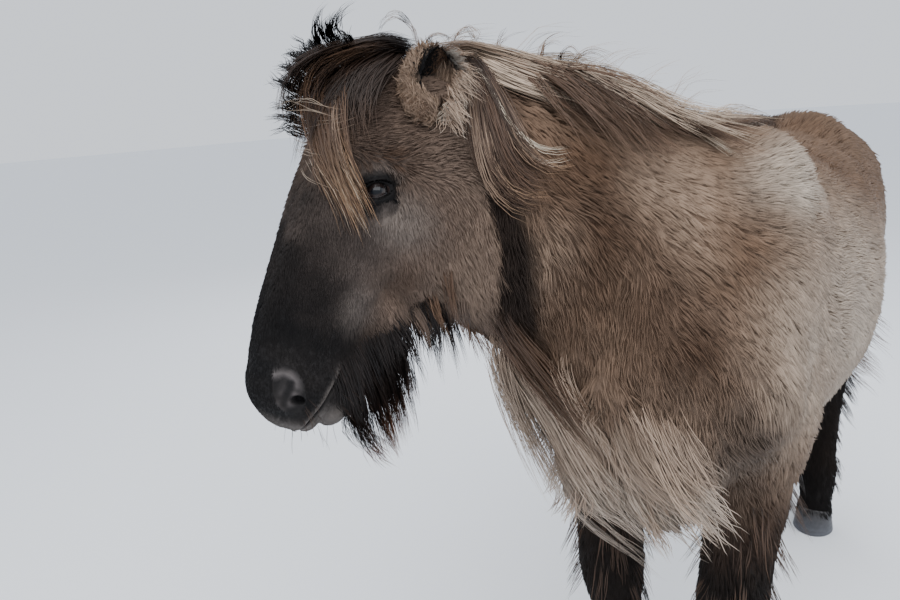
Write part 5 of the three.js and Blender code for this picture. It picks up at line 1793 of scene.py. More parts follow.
def forelock():
    """The forelock: a dark mass over the brow, a golden lock before the eye and hairs that stand up."""
    narrow = (0.0008, 0.0014)
    dark = (BLACK, mix(BLACK, DEEP, 0.8), mix(DEEP, BROWN, 0.5))
    brown = (DEEP, mix(DEEP, BROWN, 0.8), BROWN)
    golden = (DEEP, mix(DEEP, BROWN, 0.8), GOLD)
    fair = (DEEP, mix(DEEP, BROWN, 0.9), mix(GOLD, BLOND, 0.6))
    dull = (DEEP, mix(DEEP, BROWN, 0.5), mix(BROWN, GOLD, 0.5))
    blond = (DEEP, mix(BROWN, TAUPE, 0.5), BLOND)
    across = (BROWN, mix(BROWN, BLOND, 0.4), BLOND * 0.9)
    black = (BLACK, BLACK, DEEP)
    groups = [
        laid_locks(
            FORELOCK_DARK, 64, 15, (0.015, 0.010), (0.0009, 0.0018), dark,
            steps=8, wave=0.010, spread=0.28, late=0.25, short=0.55,
        ),
        laid_locks(
            FORELOCK_GOLD, 12, 14, (0.009, 0.008), narrow, brown,
            steps=11, wave=0.008, spread=0.25, late=0.3,
        ),
        laid_locks(
            FORELOCK_GOLD, 8, 13, (0.007, 0.007), narrow, golden,
            steps=11, wave=0.010, tip_from=0.55, spread=0.3, late=0.4, short=0.7,
        ),
        laid_locks(
            FORELOCK_TAIL, 5, 9, (0.008, 0.009), (0.0005, 0.0010), fair,
            steps=9, wave=0.008, tip_from=0.5, spread=0.35, late=0.3, short=0.6,
        ),
        laid_locks(
            FORELOCK_TAIL, 7, 10, (0.012, 0.009), (0.0006, 0.0012), dull,
            steps=9, wave=0.010, spread=0.3, late=0.3, short=0.5,
        ),
        laid_locks(
            FORELOCK_GOLD, 3, 7, (0.006, 0.006), (0.0004, 0.0008), blond,
            steps=11, wave=0.006, spread=0.3, late=0.3,
        ),
    ]
    for line in FORELOCK_ACROSS:
        groups.append(laid_locks(
            [line], 1, 6, (0.014, 0.010), (0.0004, 0.0007), across,
            steps=8, jitter=0.006, sunk=0.0, short=0.5, late=0.4, wave=0.010,
        ))
    for line in FORELOCK_UPRIGHT:
        groups.append(laid_locks(
            [line], 3, 12, (0.009, 0.003), narrow, black,
            steps=7, jitter=0.004, short=0.5, wave=0.006,
        ))
    groups.append(laid_locks(
        FORELOCK_FUZZ, 52, 12, (0.010, 0.004), narrow, black,
        steps=5, jitter=0.007, short=0.35, wave=0.006,
    ))
    groups.append(poll_locks(34))
    return strand_mesh("forelock", groups)


def poll_locks(count):
    """Dark locks that grow from the poll and fall over the brow."""
    x = between(-0.056, 0.030, count)
    roots = head_places(x, between(0.0, 0.09, count), between(0.0, 0.03, count))
    headings = head_way(np.stack([x * 5, between(-1.0, -0.7, count), between(-0.4, 0.0, count)], -1))
    pull = head_way(np.stack([x * 3 - 0.1, between(0.0, 0.25, count), -np.ones(count)], -1))
    dark = (BLACK, mix(BLACK, DEEP, 0.7), mix(DEEP, BROWN, 0.6))
    return lock_group(
        roots, headings, between(0.12, 0.20, count), pull, between(3.5, 6.0, count),
        between(0.002, 0.012, count), 13, (0.014, 0.009), (0.0009, 0.0018), dark,
        steps=7, wave=0.008, spread=0.22,
    )


# The length of the beard from the chin, at 0, to the throat, at 1
BEARD_LENGTH = np.array([[0.0, 0.105], [0.3, 0.17], [0.5, 0.17], [0.75, 0.12], [1.0, 0.09]])


def beard():
    """The beard: black locks below the chin and jaw, brown ones toward the throat."""
    ink = mix(BLACK, DEEP, 0.25)
    black = (ink, ink, mix(RUST, BLACK, 0.1))
    brown = (CHEEK * 0.9, mix(DEEP, CHEEK, 0.6), mix(DEEP, CHEEK, 0.2))
    groups = [
        laid_locks(
            BEARD_NEAR, 84, 14, (0.013, 0.007), (0.0010, 0.0019), black,
            steps=7, jitter=0.005, wave=0.006, tip_from=0.6, spread=0.35, short=0.6,
        ),
        laid_locks(
            BEARD_BACK, 30, 13, (0.012, 0.004), (0.0007, 0.0013), brown,
            steps=5, jitter=0.005, wave=0.004, tip_from=0.6, short=0.45,
        ),
    ]
    for count, low_share, high_share in ((46, 0.0, 0.6), (26, 0.5, 1.0)):
        share = between(low_share, high_share, count)
        side = np.where(rng.random(count) < 0.3, 1.0, -1.0)
        z = mix(-0.46, -0.14, share)
        rise = between(0.0, 1.0, count)
        x = side * mix(0.005, mix(0.048, 0.075, share), rise)
        y = mix(0.175, 0.30, step01(0, 0.7, share)) - mix(0.0, 0.055, rise)
        roots = head_places(x, y, z)
        headings = np.stack([between(-0.15, 0.3, count), between(0.0, 0.35, count), -np.ones(count)], -1)
        pull = np.stack([between(-0.1, 0.15, count), between(-0.1, 0.15, count), -np.ones(count)], -1)
        size = np.interp(share, *BEARD_LENGTH.T) * between(0.8, 1.15, count) * mix(0.75, 1.0, 1 - rise)
        early = share[:, None] < 0.55
        body = np.where(early, ink, mix(DEEP, BROWN, 0.4))
        tip = np.where(early, RUST * 0.8, mix(DEEP, CHEEK, 0.5))
        groups.append(lock_group(
            roots, headings, size, pull, between(0.6, 1.4, count), between(0.001, 0.010, count),
            12, (0.012, 0.006), (0.0009, 0.0017), (body, body, tip),
            steps=5, tip_from=0.65, short=0.55, wave=0.006,
        ))
    return strand_mesh("beard", groups)


BREAST_HAIR = (0.0009, 0.0017)
STRAW = mix(TAUPE, CREAM, 0.6)


def breast_locks():
    """The locks of the breast, as the photograph shows them and all round below the neck."""
    hair = BREAST_HAIR
    soft = {"late": 0.45, "short": 0.45, "wave": 0.009, "spread": 0.14}
    left = (mix(TAUPE, BROWN, 0.35), mix(TAUPE, CREAM, 0.1), mix(TAUPE, CREAM, 0.75))
    parting = (DEEP, mix(DEEP, BROWN, 0.7), mix(BROWN, TAUPE, 0.4))
    right = (mix(TAUPE, BROWN, 0.6), TAUPE * 0.95, STRAW)
    low = (TAUPE, mix(TAUPE, STRAW, 0.5), STRAW)
    groups = [
        laid_locks(CHEST_LEFT, 46, 14, (0.018, 0.011), hair, left, steps=7, jitter=0.009, **soft),
        laid_locks(CHEST_PARTING, 22, 13, (0.014, 0.009), hair, parting, steps=7, jitter=0.008, **soft),
        laid_locks(CHEST_RIGHT, 40, 14, (0.020, 0.012), hair, right, steps=6, jitter=0.010, **soft),
        laid_locks(CHEST_LOW, 22, 12, (0.014, 0.012), hair, low, steps=7, jitter=0.008, **soft),
    ]
    for line in CHEST_STREAKS:
        groups.append(laid_locks(
            [line], 4, 8, (0.012, 0.010), (0.0005, 0.0009), (TAUPE, TAUPE, STRAW),
            steps=7, jitter=0.008, wave=0.008, short=0.5, late=0.6,
        ))
    count = 40
    x = between(-0.2, 0.10, count)
    z = between(0.75, 0.98, count) + 0.2 * np.abs(x)
    roots = on_surface(horse_field, np.stack([x, -0.43 + 0.4 * np.abs(x), z], -1))
    fall = np.tanh((x - parting_at(z)) / 0.05)
    headings = np.stack([0.4 * fall, between(0.0, 0.3, count), -np.ones(count)], -1)
    pull = headings + np.stack([0.3 * fall, between(0.0, 0.3, count), 0 * x], -1)
    groups.append(lock_group(
        roots, headings, between(0.085, 0.125, count), pull, between(0.4, 1.0, count),
        between(0.0, 0.008, count), 12, (0.020, 0.011), hair, (mix(TAUPE, BROWN, 0.5), TAUPE, STRAW),
        steps=5, wave=0.008, late=0.3,
    ))
    return groups


def throat_locks(count):
    """Short locks down the underside of the neck."""
    t = between(1.9, 3.6, count)
    centre, _, left, up, half_depth, half_width = neck_frame(t)
    aside = half_width * between(-0.9, 0.6, count)
    roots = on_surface(horse_field, centre - up * half_depth[:, None] + left * aside[:, None])
    headings = np.stack([between(-0.1, 0.3, count), between(0.2, 0.6, count), -np.ones(count)], -1)
    return lock_group(
        roots, headings, between(0.06, 0.10, count), headings, between(0.2, 0.5, count),
        between(0.0, 0.01, count), 12, (0.015, 0.007), (0.0009, 0.0018), (DEEP, BROWN, TAUPE), steps=4,
    )


def belly_locks(count):
    """Pale locks below the belly and behind the elbows."""
    side = np.where(rng.random(count) < 0.5, 1.0, -1.0)
    start = np.stack([side * between(0.04, 0.2, count), between(0.02, 0.72, count), np.full(count, 0.62)], -1)
    roots = on_surface(horse_field, start)
    headings = np.stack([0.15 * side, between(0.3, 0.8, count), -np.ones(count)], -1)
    return lock_group(
        roots, headings, between(0.06, 0.10, count), headings, between(0.2, 0.5, count),
        between(0.0, 0.01, count), 12, (0.018, 0.008), (0.0010, 0.0020), (TAUPE, CREAM, CREAM), steps=4,
    )


def fringe():
    """The long hair of breast, throat, belly and elbows."""
    return strand_mesh("fringe", [*breast_locks(), throat_locks(30), belly_locks(46)])


def leg_locks(rows, side, t_range, count, length, turn_range, tones, rise=0.35, radii=(0.013, 0.006)):
    """Locks round the back of a leg; turns run from the leg's back toward its outer side."""
    t = between(*t_range, count)
    row = curve(rows, t)
    angle = np.radians(between(*turn_range, count))
    out = np.stack([side * np.sin(angle), np.cos(angle), 0 * angle], -1)
    start = row[:, :3] + out * row[:, 3:5].mean(-1)[:, None]
    roots = on_surface(horse_field, start, 3)
    headings = out * rise - np.array([0, 0, 1.0])
    size = np.minimum(between(*length, count), np.maximum(row[:, 2] - 0.025, 0.02))
    return lock_group(
        roots, headings, size, headings, np.full(count, 0.4), between(0.0, 0.010, count),
        8, radii, (0.0011, 0.0021), tones, steps=4, wave=0.006, short=0.5,
    )


def feathers():
    """The long hair on the backs of the legs and thighs."""
    groups = []
    black = (BLACK, mix(LEG, DEEP, 0.3), DEEP)
    brown = (LEG, mix(DEEP, BROWN, 0.3), mix(DEEP, BROWN, 0.8))
    thigh = (mix(DEEP, BROWN, 0.3), mix(DEEP, BROWN, 0.8), BROWN)
    for name, rows in LEGS.items():
        side = 1 if name.endswith("left") else -1
        hind = name.startswith("hind")
        bands = [
            ((0.6, 4.2), 26, (0.07, 0.12), (-80, 60), black, 0.45 if hind else 0.3),
            ((4.2, 6.3), 28, (0.05, 0.075), (-110, 110), black, 0.45),
        ]
        if hind:
            bands.append(((0.4, 2.6), 50, (0.10, 0.15), (-30, 120), thigh, 1.3, (0.022, 0.014)))
            bands.append(((2.2, 4.0), 30, (0.07, 0.10), (0, 120), black, 0.7, (0.017, 0.009)))
        else:
            bands.append(((0.9, 3.4), 44, (0.08, 0.12), (-180, 180), brown, 0.55, (0.018, 0.010)))
        groups += [leg_locks(rows, side, *band) for band in bands]
    groups.append(buttock_locks(36))
    return strand_mesh("feathers", groups)


def buttock_locks(count):
    """The hair on the backs of the thighs, on both sides of the tail."""
    side = np.where(rng.random(count) < 0.5, 1.0, -1.0)
    start = np.stack([side * between(0.1, 0.18, count), np.full(count, 1.17), between(0.72, 1.0, count)], -1)
    roots = on_surface(horse_field, start)
    headings = np.stack([0.1 * side, np.full(count, 0.15), -np.ones(count)], -1)
    return lock_group(
        roots, headings, between(0.08, 0.12, count), headings, np.full(count, 0.3),
        between(0.0, 0.01, count), 12, (0.016, 0.007), (0.0010, 0.0020), (BROWN, TAUPE * 0.7, TAUPE), steps=5,
    )


TAIL_STEPS = 14
TAIL_SUNK = 0.012
TAIL_STRANDS = 11


def tail_field(p):
    """The dock and the mass of the tail, a little slimmer than in the solids."""
    return tube(p, TAIL, TAIL_STEPS) + TAIL_SUNK


def tail():
    """The hair of the tail: a black layer and a brown one over it."""
    black = (BLACK, mix(DEEP, BLACK, 0.5), DEEP)
    brown = (BLACK, mix(DEEP, BROWN, 0.6), BROWN)
    groups = []
    for count, tones, lift in ((96, black, (0.0, 0.010)), (50, brown, (0.006, 0.014))):
        t = between(0.3, 1.0, count) ** 1.6 * 5.6
        row = curve(TAIL, t)
        angle = between(-math.pi, math.pi, count)
        out = np.stack([np.sin(angle), np.cos(angle), 0 * angle], -1)
        start = row[:, :3] + out * row[:, 3:5].mean(-1)[:, None]
        roots = on_surface(tail_field, start)
        headings = out * 0.12 - np.array([0, 0, 1.0])
        size = np.minimum(between(0.30, 0.62, count), np.maximum(row[:, 2] - 0.16, 0.08))
        locks, colours, _ = lock_group(
            roots, headings, size, headings * (0.2, 0.2, 1), np.full(count, 0.5), between(*lift, count),
            TAIL_STRANDS, (0.022, 0.014), (0.0014, 0.0028), tones,
            steps=7, wave=0.014, field=tail_field, short=0.5,
        )
        place = np.stack([between(0.64, 0.98, count), between(0.50, 0.72, count)], -1)
        groups.append((locks, colours, np.repeat(place, TAIL_STRANDS, axis=0)))
    return strand_mesh("tail_hair", groups)


def whiskers():
    """Single long hairs on lips and chin, and a few that the wind lifts off the mane."""
    return strand_mesh("stray_hair", [chin_hairs(50), blown_hairs(46)])


def chin_hairs(count):
    side = np.where(rng.random(count) < 0.5, 1.0, -1.0)
    x = side * between(0.01, 0.05, count)
    roots = head_places(x, between(0.06, 0.16, count), between(-0.56, -0.44, count))
    _, way = slope(horse_field, roots)
    headings = unit(way) + np.array([0, 0, -0.5])
    pull = np.array([0, 0, -1.0]) + 0 * headings
    return lock_group(
        roots, headings, between(0.02, 0.045, count), pull, np.full(count, 0.5),
        between(0.005, 0.03, count), 1, (0.0001, 0.0001), (0.0004, 0.0006), (DEEP, DEEP, BROWN),
        steps=6, wave=0.001,
    )


def blown_hairs(count):
    roots, along, _, up = crest_places(between(1.2, 4.9, count), between(-0.03, 0.03, count))
    headings = up * between(0.8, 1.2, count)[:, None] - along * between(0.0, 0.8, count)[:, None]
    pull = np.stack([between(0.3, 0.9, count), between(0.3, 0.9, count), between(-0.6, 0.1, count)], -1)
    return lock_group(
        roots, headings, between(0.08, 0.17, count), pull, between(0.8, 2.4, count),
        between(0.03, 0.06, count), 2, (0.004, 0.012), (0.0005, 0.0008), (BROWN, TAUPE, BLOND),
        steps=10, wave=0.008,
    )


# Ears

EAR_BASE, EAR_TIP = np.array([70, 114, -48]) * MM, np.array([74, 101, 64]) * MM
# The way that the left ear's opening faces, in the head's frame
EAR_FACING = np.array([0.96, 0.25, 0])
# [share of the height, half-width, half-depth]
EAR_RINGS = np.array([
    [0, 30, 28],
    [0.15, 36, 32],
    [0.35, 42, 33],
    [0.6, 41, 28],
    [0.8, 32, 20],
    [0.93, 19, 11],
    [1, 6, 4],
])
EAR_SIDES, EAR_STEPS = 40, 40
EAR_THICKNESS = 0.004
EAR_OPENING = 1.05
EAR_TUFTS = 9500
EAR_FRINGE = 2400


def ear_opening(t):
    """Half the angle of the ear's opening at each height."""
    return step01(0.14, 0.40, t) * EAR_OPENING


def ear_frame(side):
    """The base of an ear, its way up, its length, the way that it faces and the way across."""
    place = [from_head(v * (side, 1, 1)) for v in (EAR_BASE, EAR_TIP)]
    length = np.linalg.norm(place[1] - place[0])
    along = (place[1] - place[0]) / length
    faced = head_way(EAR_FACING * (side, 1, 1))
    facing = unit(faced - along * np.dot(faced, along))
    return place[0], along, length, facing, np.cross(along, facing)


def ear_surface(side):
    """A leaf rolled round its own axis: an outer and an inner face joined at the rim."""
    base, along, length, facing, wide = ear_frame(side)
    t = np.linspace(0, 1, EAR_STEPS)
    rings = curve(EAR_RINGS, t) * MM
    opening = ear_opening(t)
    outer, inner = [], []
    for k in range(EAR_STEPS):
        angle = np.linspace(opening[k], 2 * math.pi - opening[k], EAR_SIDES)
        w, d = rings[k]
        centre = base + along * t[k] * length
        ring = centre + np.outer(np.cos(angle) * d, facing) + np.outer(np.sin(angle) * w, wide)
        scale = max(1 - EAR_THICKNESS * (1 - 0.5 * t[k]) / max(min(w, d), 1e-3), 0.2)
        outer.append(ring)
        inner.append(centre + (ring - centre) * scale)
    count = EAR_SIDES
    points = np.concatenate([np.array(outer).reshape(-1, 3), np.array(inner).reshape(-1, 3)])
    triangles = []
    half = EAR_STEPS * count

    def quad(a, b, c, d):
        triangles.extend([[a, b, c], [a, c, d]])

    for k in range(EAR_STEPS - 1):
        for i in range(count - 1):
            a, b = k * count + i, k * count + i + 1
            quad(a, b, b + count, a + count)
            quad(half + b, half + a, half + a + count, half + b + count)
        a, b = k * count, half + k * count
        quad(b, a, a + count, b + count)
        a, b = k * count + count - 1, half + k * count + count - 1
        quad(a, b, b + count, a + count)
    for i in range(count - 1):
        quad(i + 1, i, half + i, half + i + 1)
        top = (EAR_STEPS - 1) * count
        quad(top + i, top + i + 1, half + top + i + 1, half + top + i)
    triangles = np.array(triangles)
    if np.linalg.det(np.stack([facing, wide, along])) < 0:
        triangles = triangles[:, ::-1]
    inside = np.repeat([0.0, 1.0], half)
    height = np.tile(np.repeat(t, count), 2)
    rear = np.tile(-np.linspace(-1, 1, count) * side, EAR_STEPS * 2)
    return points, triangles, inside, height, rear


def ear_colour(inside, height, rear):
    """Ear colours: taupe with a pale rear edge, black rim and tip, and a dark cup, black in front as painted
    shade.
    """
    count = len(inside)
    edge = np.abs(rear)
    colour = toward(plain_coat(COAT, count), BROWN, 0.7 - edge)
    colour = toward(colour, STRAW, step01(0.15, 0.6, rear) * step01(1.0, 0.8, height))
    rim = step01(0.93, 0.98, edge) * step01(0.3, 0.5, height)
    colour = toward(colour, BLACK, rim)
    colour = toward(colour, DEEP, 0.8 * step01(0.88, 1.0, height))
    # The front half of the cup goes black as painted shade
    cup = toward(plain_coat(BROWN, count), BLACK, np.maximum(step01(0.2, -0.2, rear), rim))
    return toward(colour, cup, inside)


def ear_short_hair(side, points, triangles, inside, height, rear):
    """Short hair outside an ear, and black hair in its cup as painted shade round a tan tuft, as values for
    tufts.
    """
    count = EAR_TUFTS
    in_cup = inside[triangles].mean(1) > 0.5
    roots, chosen = scatter(points, triangles, np.where(in_cup, 0.8, 1.0), count)
    a, b, c = (points[triangles[chosen, i]] for i in range(3))
    outs = unit(np.cross(b - a, c - a))
    _, along, _, facing, wide = ear_frame(side)
    back = wide * side
    cup = in_cup[chosen]
    high, behind = height[triangles[chosen]].mean(1), rear[triangles].mean(1)[chosen]
    edge = step01(0.3, 0.95, np.abs(behind))
    ways = (
        along[None] * np.where(cup, 0.9, 0.45)[:, None]
        + facing[None] * np.where(cup, 0.5, 0.1 + 0.2 * edge)[:, None]
        + back[None] * (np.sign(behind) * edge * np.where(cup, 0.0, 1.0))[:, None]
        + rng.normal(0, 0.22, (count, 3))
    )
    ways = unit(ways - outs * (dots(ways, outs) * 0.8)[:, None])
    size = np.where(cup, 0.020, 0.018) * rng.uniform(0.7, 1.3, count)
    size = size * mix(1.0, 0.5, step01(0.6, 1.0, high))
    colours = ear_colour(np.zeros(count), high, behind)
    tan = toward(plain_coat(TAUPE * 0.8, count), BROWN, rng.random(count) * 0.6)
    core = cup * step01(0.12, 0.40, behind) * step01(0.98, 0.88, behind)
    core = core * step01(0.85, 0.65, high) * step01(0.05, 0.25, high)
    # The hair in the cup is black as painted shade, but for the tan tuft
    colours = toward(np.where(cup[:, None], BLACK[None], colours), tan, core)
    size = np.where(cup & (core < 0.3), size * 0.4, size)
    colours = colours * rng.normal(1, 0.10, count)[:, None]
    rise = size * rng.uniform(0.15, 0.5, count)
    tips = roots + ways * size[:, None] + outs * rise[:, None]
    return roots, tips, outs, size * 0.02 + 0.0004, rise, colours


def ear_rim_hair(side):
    """The soft fringe along both edges of an ear's opening, as values for tufts."""
    count = EAR_FRINGE
    base, along, length, facing, wide = ear_frame(side)
    behind = rng.random(count) < 0.5
    t = np.where(behind, between(0.3, 0.97, count), between(0.05, 0.92, count))
    half_wide, half_deep = curve(EAR_RINGS, t).T * MM
    turn = ear_opening(t) + np.where(behind, between(0.0, 0.25, count), between(0.1, 0.9, count))
    angle = turn * np.where(behind, 1.0, -1.0) * side
    centre = base + along * (t * length)[:, None]
    rim = centre + facing * (np.cos(angle) * half_deep)[:, None] + wide * (np.sin(angle) * half_wide)[:, None]
    side_way = wide * side * np.where(behind, 0.9, -0.9)[:, None]
    hang = mix(-0.9, 0.15, step01(0.05, 0.95, t))
    lean = np.where(behind, 0.75, 0.15)
    way = side_way + facing * lean[:, None] + along * hang[:, None] + rng.normal(0, 0.30, (count, 3))
    reach = np.where(behind, 0.022, 0.020) * rng.uniform(0.5, 1.2, count)
    tone = rng.random(count)[:, None]
    pale, brown = mix(mix(TAUPE, CREAM, 0.3), SILVER, tone), mix(BROWN, TAUPE, tone)
    tips = rim + unit(way) * reach[:, None]
    colours = np.where(behind[:, None], pale, brown)
    return rim, tips, unit(rim - centre), np.full(count, 0.0005), reach * 0.25, colours


def ear_fur(side, ear):
    """One mesh of the hair of an ear."""
    sets = [ear_short_hair(side, *ear), ear_rim_hair(side)]
    roots, tips, outs, width, rise, colours = (np.concatenate(values) for values in zip(*sets))
    name = "ear_fur_left" if side > 0 else "ear_fur_right"
    return tufts(name, roots, tips, outs, width, rise, colours, unwrap(Region(roots)))


# Eyes

EYE_SEGMENTS, EYE_RINGS = 64, 48
CORNEA_BULGE = 0.055
PUPIL_LONG, PUPIL_TALL = 0.46, 0.24
IRIS, IRIS_EDGE = shade(34, 26, 24), shade(14, 11, 11)
PUPIL = shade(6, 8, 14)
EYE_RIM = shade(40, 32, 30)
LASH = shade(14, 11, 10)
LASH_COUNT = 150


def eyeball(side):
    """A ball whose colour gives the iris, its wide pupil and the dark rim."""
    segments, rings = EYE_SEGMENTS, EYE_RINGS
    centre = from_head(EYE * (side, 1, 1))
    axis = unit(head_way(LID_AXIS * (side, 1, 1)))
    long_way = unit(head_way(LID_LONG * (side, 1, 1)))
    long_way = unit(long_way - axis * np.dot(long_way, axis))
    up = np.cross(axis, long_way)
    from_axis = np.linspace(0, math.pi, rings + 1)
    turn = np.linspace(0, 2 * math.pi, segments, endpoint=False)
    from_axis, turn = np.meshgrid(from_axis, turn, indexing="ij")
    along, above = np.sin(from_axis) * np.cos(turn), np.sin(from_axis) * np.sin(turn)
    cornea = 1 + CORNEA_BULGE * step01(0.75, 0.25, from_axis)
    ways = np.cos(from_axis)[..., None] * axis + along[..., None] * long_way + above[..., None] * up
    points = (centre + ways * (EYE_RADIUS * cornea)[..., None]).reshape(-1, 3)
    triangles = []
    for k in range(rings):
        for i in range(segments):
            a, b = k * segments + i, k * segments + (i + 1) % segments
            if k > 0:
                triangles.append([a, b + segments, b])
            if k < rings - 1:
                triangles.append([a, a + segments, b + segments])
    along, above = along.ravel(), above.ravel()
    around = np.hypot(along, above)
    colour = toward(plain_coat(IRIS, len(points)), IRIS_EDGE, step01(0.48, 0.62, around))
    pupil = step01(1.05, 0.9, np.hypot(along / PUPIL_LONG, above / PUPIL_TALL))
    colour = toward(colour, PUPIL, pupil)
    colour = toward(colour, EYE_RIM, step01(0.72, 0.80, around))
    name = "eyeball_left" if side > 0 else "eyeball_right"
    return make_mesh(name, points, np.array(triangles), colour)


def lashes(side):
    """Upper lashes, and a few below."""
    count = LASH_COUNT
    axis = unit(head_way(LID_AXIS * (side, 1, 1)))
    long_way, up = (unit(head_way(way * (side, 1, 1))) for way in lid_ways())
    centre = from_head(EYE * (side, 1, 1))
    along = rng.uniform(-0.95, 0.95, count)
    upper = rng.random(count) < 0.75
    high = np.where(upper, LID_UPPER, -LID_LOWER) * np.sqrt(1 - along**2) * 1.06
    reach = EYE_RADIUS + 0.004
    aside = along * LID_HALF * 1.02
    ahead = np.sqrt(np.maximum(reach**2 - aside**2 - high**2, 1e-8))
    roots = centre + long_way * aside[:, None] + up * high[:, None] + axis * ahead[:, None]
    droop = np.where(upper, -0.45, -0.2)
    ways = axis[None] + up[None] * droop[:, None] + long_way[None] * (along * 0.5)[:, None]
    ways = unit(ways + rng.normal(0, 0.12, (count, 3)))
    size = np.where(upper, 0.014, 0.007) * rng.uniform(0.7, 1.2, count)
    outs = unit(np.cross(long_way[None], ways))
    tips = roots + ways * size[:, None] + up[None] * (0.2 * size)[:, None]
    width, rise = np.full(count, 0.0006), size * 0.15
    name = "lashes_left" if side > 0 else "lashes_right"
    return tufts(name, roots, tips, outs, width, rise, plain_coat(LASH, count), unwrap(Region(roots)))


# Hooves

HOOF = {"width": 60, "length": 66, "top_width": 50, "top_length": 51, "forward": 12, "height": 66}
HOOF_SEGMENTS, HOOF_LEVELS = 56, 26
HOOF_BEVEL = 0.003
HOOF_GROOVE = 0.0005
HOOF_LEAN = 0.016
HORN_HIGH, HORN_LOW = shade(46, 44, 44), shade(74, 76, 82)


def hoof(name, rows):
    """A smooth hoof with faint growth rings and a small flat bevel at the ground."""
    x, y = rows[-1][1:3]
    segments, levels = HOOF_SEGMENTS, HOOF_LEVELS
    turn = np.linspace(0, 2 * math.pi, segments, endpoint=False)
    rings = []
    for k in range(levels):
        t = k / (levels - 1)
        half_wide = mix(HOOF["width"], HOOF["top_width"], t) * MM
        half_long = mix(HOOF["length"], HOOF["top_length"], t) * MM
        groove = HOOF_GROOVE * math.sin(t * 34) * (1 if 0.05 < t < 0.95 else 0)
        if k == 0:
            half_wide, half_long = half_wide - HOOF_BEVEL, half_long - HOOF_BEVEL
        forward = HOOF["forward"] * (1 - t) * MM
        lean = HOOF_LEAN * t * -np.cos(turn - math.pi / 2)
        rings.append(np.stack([
            x + (half_wide + groove) * np.cos(turn),
            y - forward + (half_long + groove) * np.sin(turn),
            t * HOOF["height"] * MM + lean * t,
        ], -1))
    points = np.concatenate(rings + [np.array([[x, y - 0.012, 0.0], [x, y, HOOF["height"] * MM]])])
    triangles = []
    for k in range(levels - 1):
        for i in range(segments):
            a, b = k * segments + i, k * segments + (i + 1) % segments
            triangles += [[a, b, b + segments], [a, b + segments, a + segments]]
    sole, top = levels * segments, levels * segments + 1
    last = (levels - 1) * segments
    for i in range(segments):
        j = (i + 1) % segments
        triangles += [[sole, j, i], [top, last + i, last + j]]
    tone = 0.8 + 0.5 * noise(points * (6, 6, 1), 0.012, 4)
    height = points[:, 2] / 0.07
    colour = toward(plain_coat(HORN_LOW, len(points)), HORN_HIGH, height) * tone[:, None]
    return make_mesh(f"horn_{name}", points, np.array(triangles), colour)


# Materials


def coat_material(name, roughness, specular, sheen=0.0, bump=None):
    """A material whose colour is the Coat attribute, with a little bump where asked."""
    material = bpy.data.materials.new(name)
    material.use_nodes = True
    nodes, links = material.node_tree.nodes, material.node_tree.links
    shader = nodes["Principled BSDF"]
    shader.inputs["Roughness"].default_value = roughness
    shader.inputs["Specular IOR Level"].default_value = specular
    shader.inputs["Sheen Weight"].default_value = sheen
    attribute = nodes.new("ShaderNodeAttribute")
    attribute.attribute_name = "Coat"
    links.new(attribute.outputs["Color"], shader.inputs["Base Color"])
    if bump:
        scale, distance = bump
        texture = nodes.new("ShaderNodeTexNoise")
        texture.inputs["Scale"].default_value = scale
        texture.inputs["Detail"].default_value = 3
        place = nodes.new("ShaderNodeTexCoord")
        links.new(place.outputs["Object"], texture.inputs["Vector"])
        bumper = nodes.new("ShaderNodeBump")
        bumper.inputs["Distance"].default_value = distance
        bumper.inputs["Strength"].default_value = 0.8
        links.new(texture.outputs["Fac"], bumper.inputs["Height"])
        links.new(bumper.outputs["Normal"], shader.inputs["Normal"])
    return material


def dress(obj, material, nodes=()):
    """Gives a piece its material, its body and the nodes that it replaces."""
    obj.data.materials.append(material)
    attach(obj, "root")
    if nodes:
        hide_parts(*nodes)


def build_horse():
    """All pieces of the horse, each with its look, its body and any nodes that it replaces."""
    skin_look = coat_material("skin", 0.75, 0.2, bump=(420, 0.0012))
    fur_look = coat_material("fur", 0.65, 0.14)
    hair_look = coat_material("hair", 0.5, 0.22)
    horn_look = coat_material("horn", 0.45, 0.4, bump=(160, 0.0004))
    eye_look = coat_material("eye", 0.03, 0.3)

    points, triangles = build_skin()
    ears = {side: ear_surface(side) for side in (1, -1)}
    all_points, all_triangles, all_colours = [points], [triangles], [skin_colour(points)]
    for ear_points, ear_triangles, inside, height, rear in ears.values():
        all_triangles.append(ear_triangles + sum(len(p) for p in all_points))
        all_points.append(ear_points)
        # The ear's skin darker than its hair, as painted shade under the fur
        all_colours.append(ear_colour(inside, height, rear) * 0.8)
    skin = make_mesh("skin", *(np.concatenate(a) for a in (all_points, all_triangles, all_colours)))
    flesh = ["torso", "neck", "head", "ear_left", "ear_right"] + [f"leg_{name}" for name in LEGS]
    dress(skin, skin_look, flesh)

    for piece in fur(points, triangles):
        dress(piece, fur_look)
    for side, ear in ears.items():
        dress(ear_fur(side, ear), fur_look)
        dress(lashes(side), hair_look)
        ball_node = "eye_left" if side > 0 else "eye_right"
        dress(eyeball(side), eye_look, [ball_node])
    for piece in (*mane(), forelock(), beard(), fringe(), whiskers()):
        dress(piece, hair_look)
    dress(feathers(), hair_look)
    dress(tail(), hair_look, ["tail"])
    for name, rows in LEGS.items():
        dress(hoof(name, rows), horn_look, [f"hoof_{name}"])


# Floor, light and camera

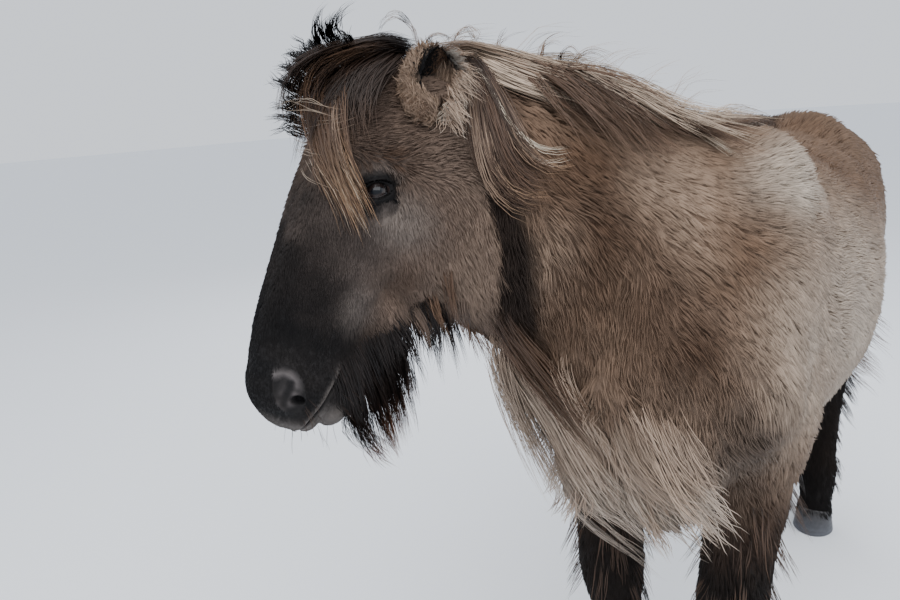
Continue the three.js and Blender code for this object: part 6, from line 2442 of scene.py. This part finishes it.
SNOW = (0.87, 0.89, 0.92)
SKY = (0.87, 0.92, 1.0)
SKY_STRENGTH = 1.15
FLOOR_HALF = 60
LAMP_AIM = Vector((0, 0.1, 0.9))
# (name, place, power in watts, width)
LAMPS = [
    ("key", (1.2, -2.2, 4.4), 190, 4.0),
    ("fill", (3.6, 0.2, 2.4), 40, 3.0),
    ("back", (-2.6, 3.0, 3.4), 60, 3.0),
]


def build_floor():
    """A wide floor of snow, as part of the stage."""
    half = FLOOR_HALF
    corners = [(-half, -half, 0), (half, -half, 0), (half, half, 0), (-half, half, 0)]
    mesh = bpy.data.meshes.new("floor")
    mesh.from_pydata(corners, [], [(0, 1, 2, 3)])
    floor = bpy.data.objects.new("floor", mesh)
    bpy.context.scene.collection.objects.link(floor)
    material = bpy.data.materials.new("floor")
    material.use_nodes = True
    shader = material.node_tree.nodes["Principled BSDF"]
    shader.inputs["Base Color"].default_value = (*SNOW, 1)
    shader.inputs["Roughness"].default_value = 0.9
    mesh.materials.append(material)


def build_light():
    """An overcast sky and three wide lamps."""
    world = bpy.data.worlds.new("studio")
    bpy.context.scene.world = world
    world.use_nodes = True
    background = world.node_tree.nodes["Background"]
    background.inputs["Color"].default_value = (*SKY, 1)
    background.inputs["Strength"].default_value = SKY_STRENGTH
    for name, place, power, width in LAMPS:
        light = bpy.data.lights.new(name, "AREA")
        light.energy = power
        light.size = width
        lamp = bpy.data.objects.new(name, light)
        lamp.location = place
        aim = LAMP_AIM - Vector(place)
        lamp.rotation_euler = aim.to_track_quat("-Z", "Y").to_euler()
        bpy.context.scene.collection.objects.link(lamp)


def build_camera():
    """The camera that the photograph was matched with."""
    right, up, ahead = (Vector(way) for way in camera_ways())
    data = bpy.data.cameras.new("camera")
    data.lens, data.sensor_width = LENS, SENSOR
    camera = bpy.data.objects.new("camera", data)
    camera.location = Vector(CAMERA_PLACE + SHIFT)
    camera.rotation_euler = Matrix((right, up, -ahead)).transposed().to_euler()
    bpy.context.scene.collection.objects.link(camera)
    bpy.context.scene.camera = camera


build_horse()
build_floor()
build_light()
build_camera()
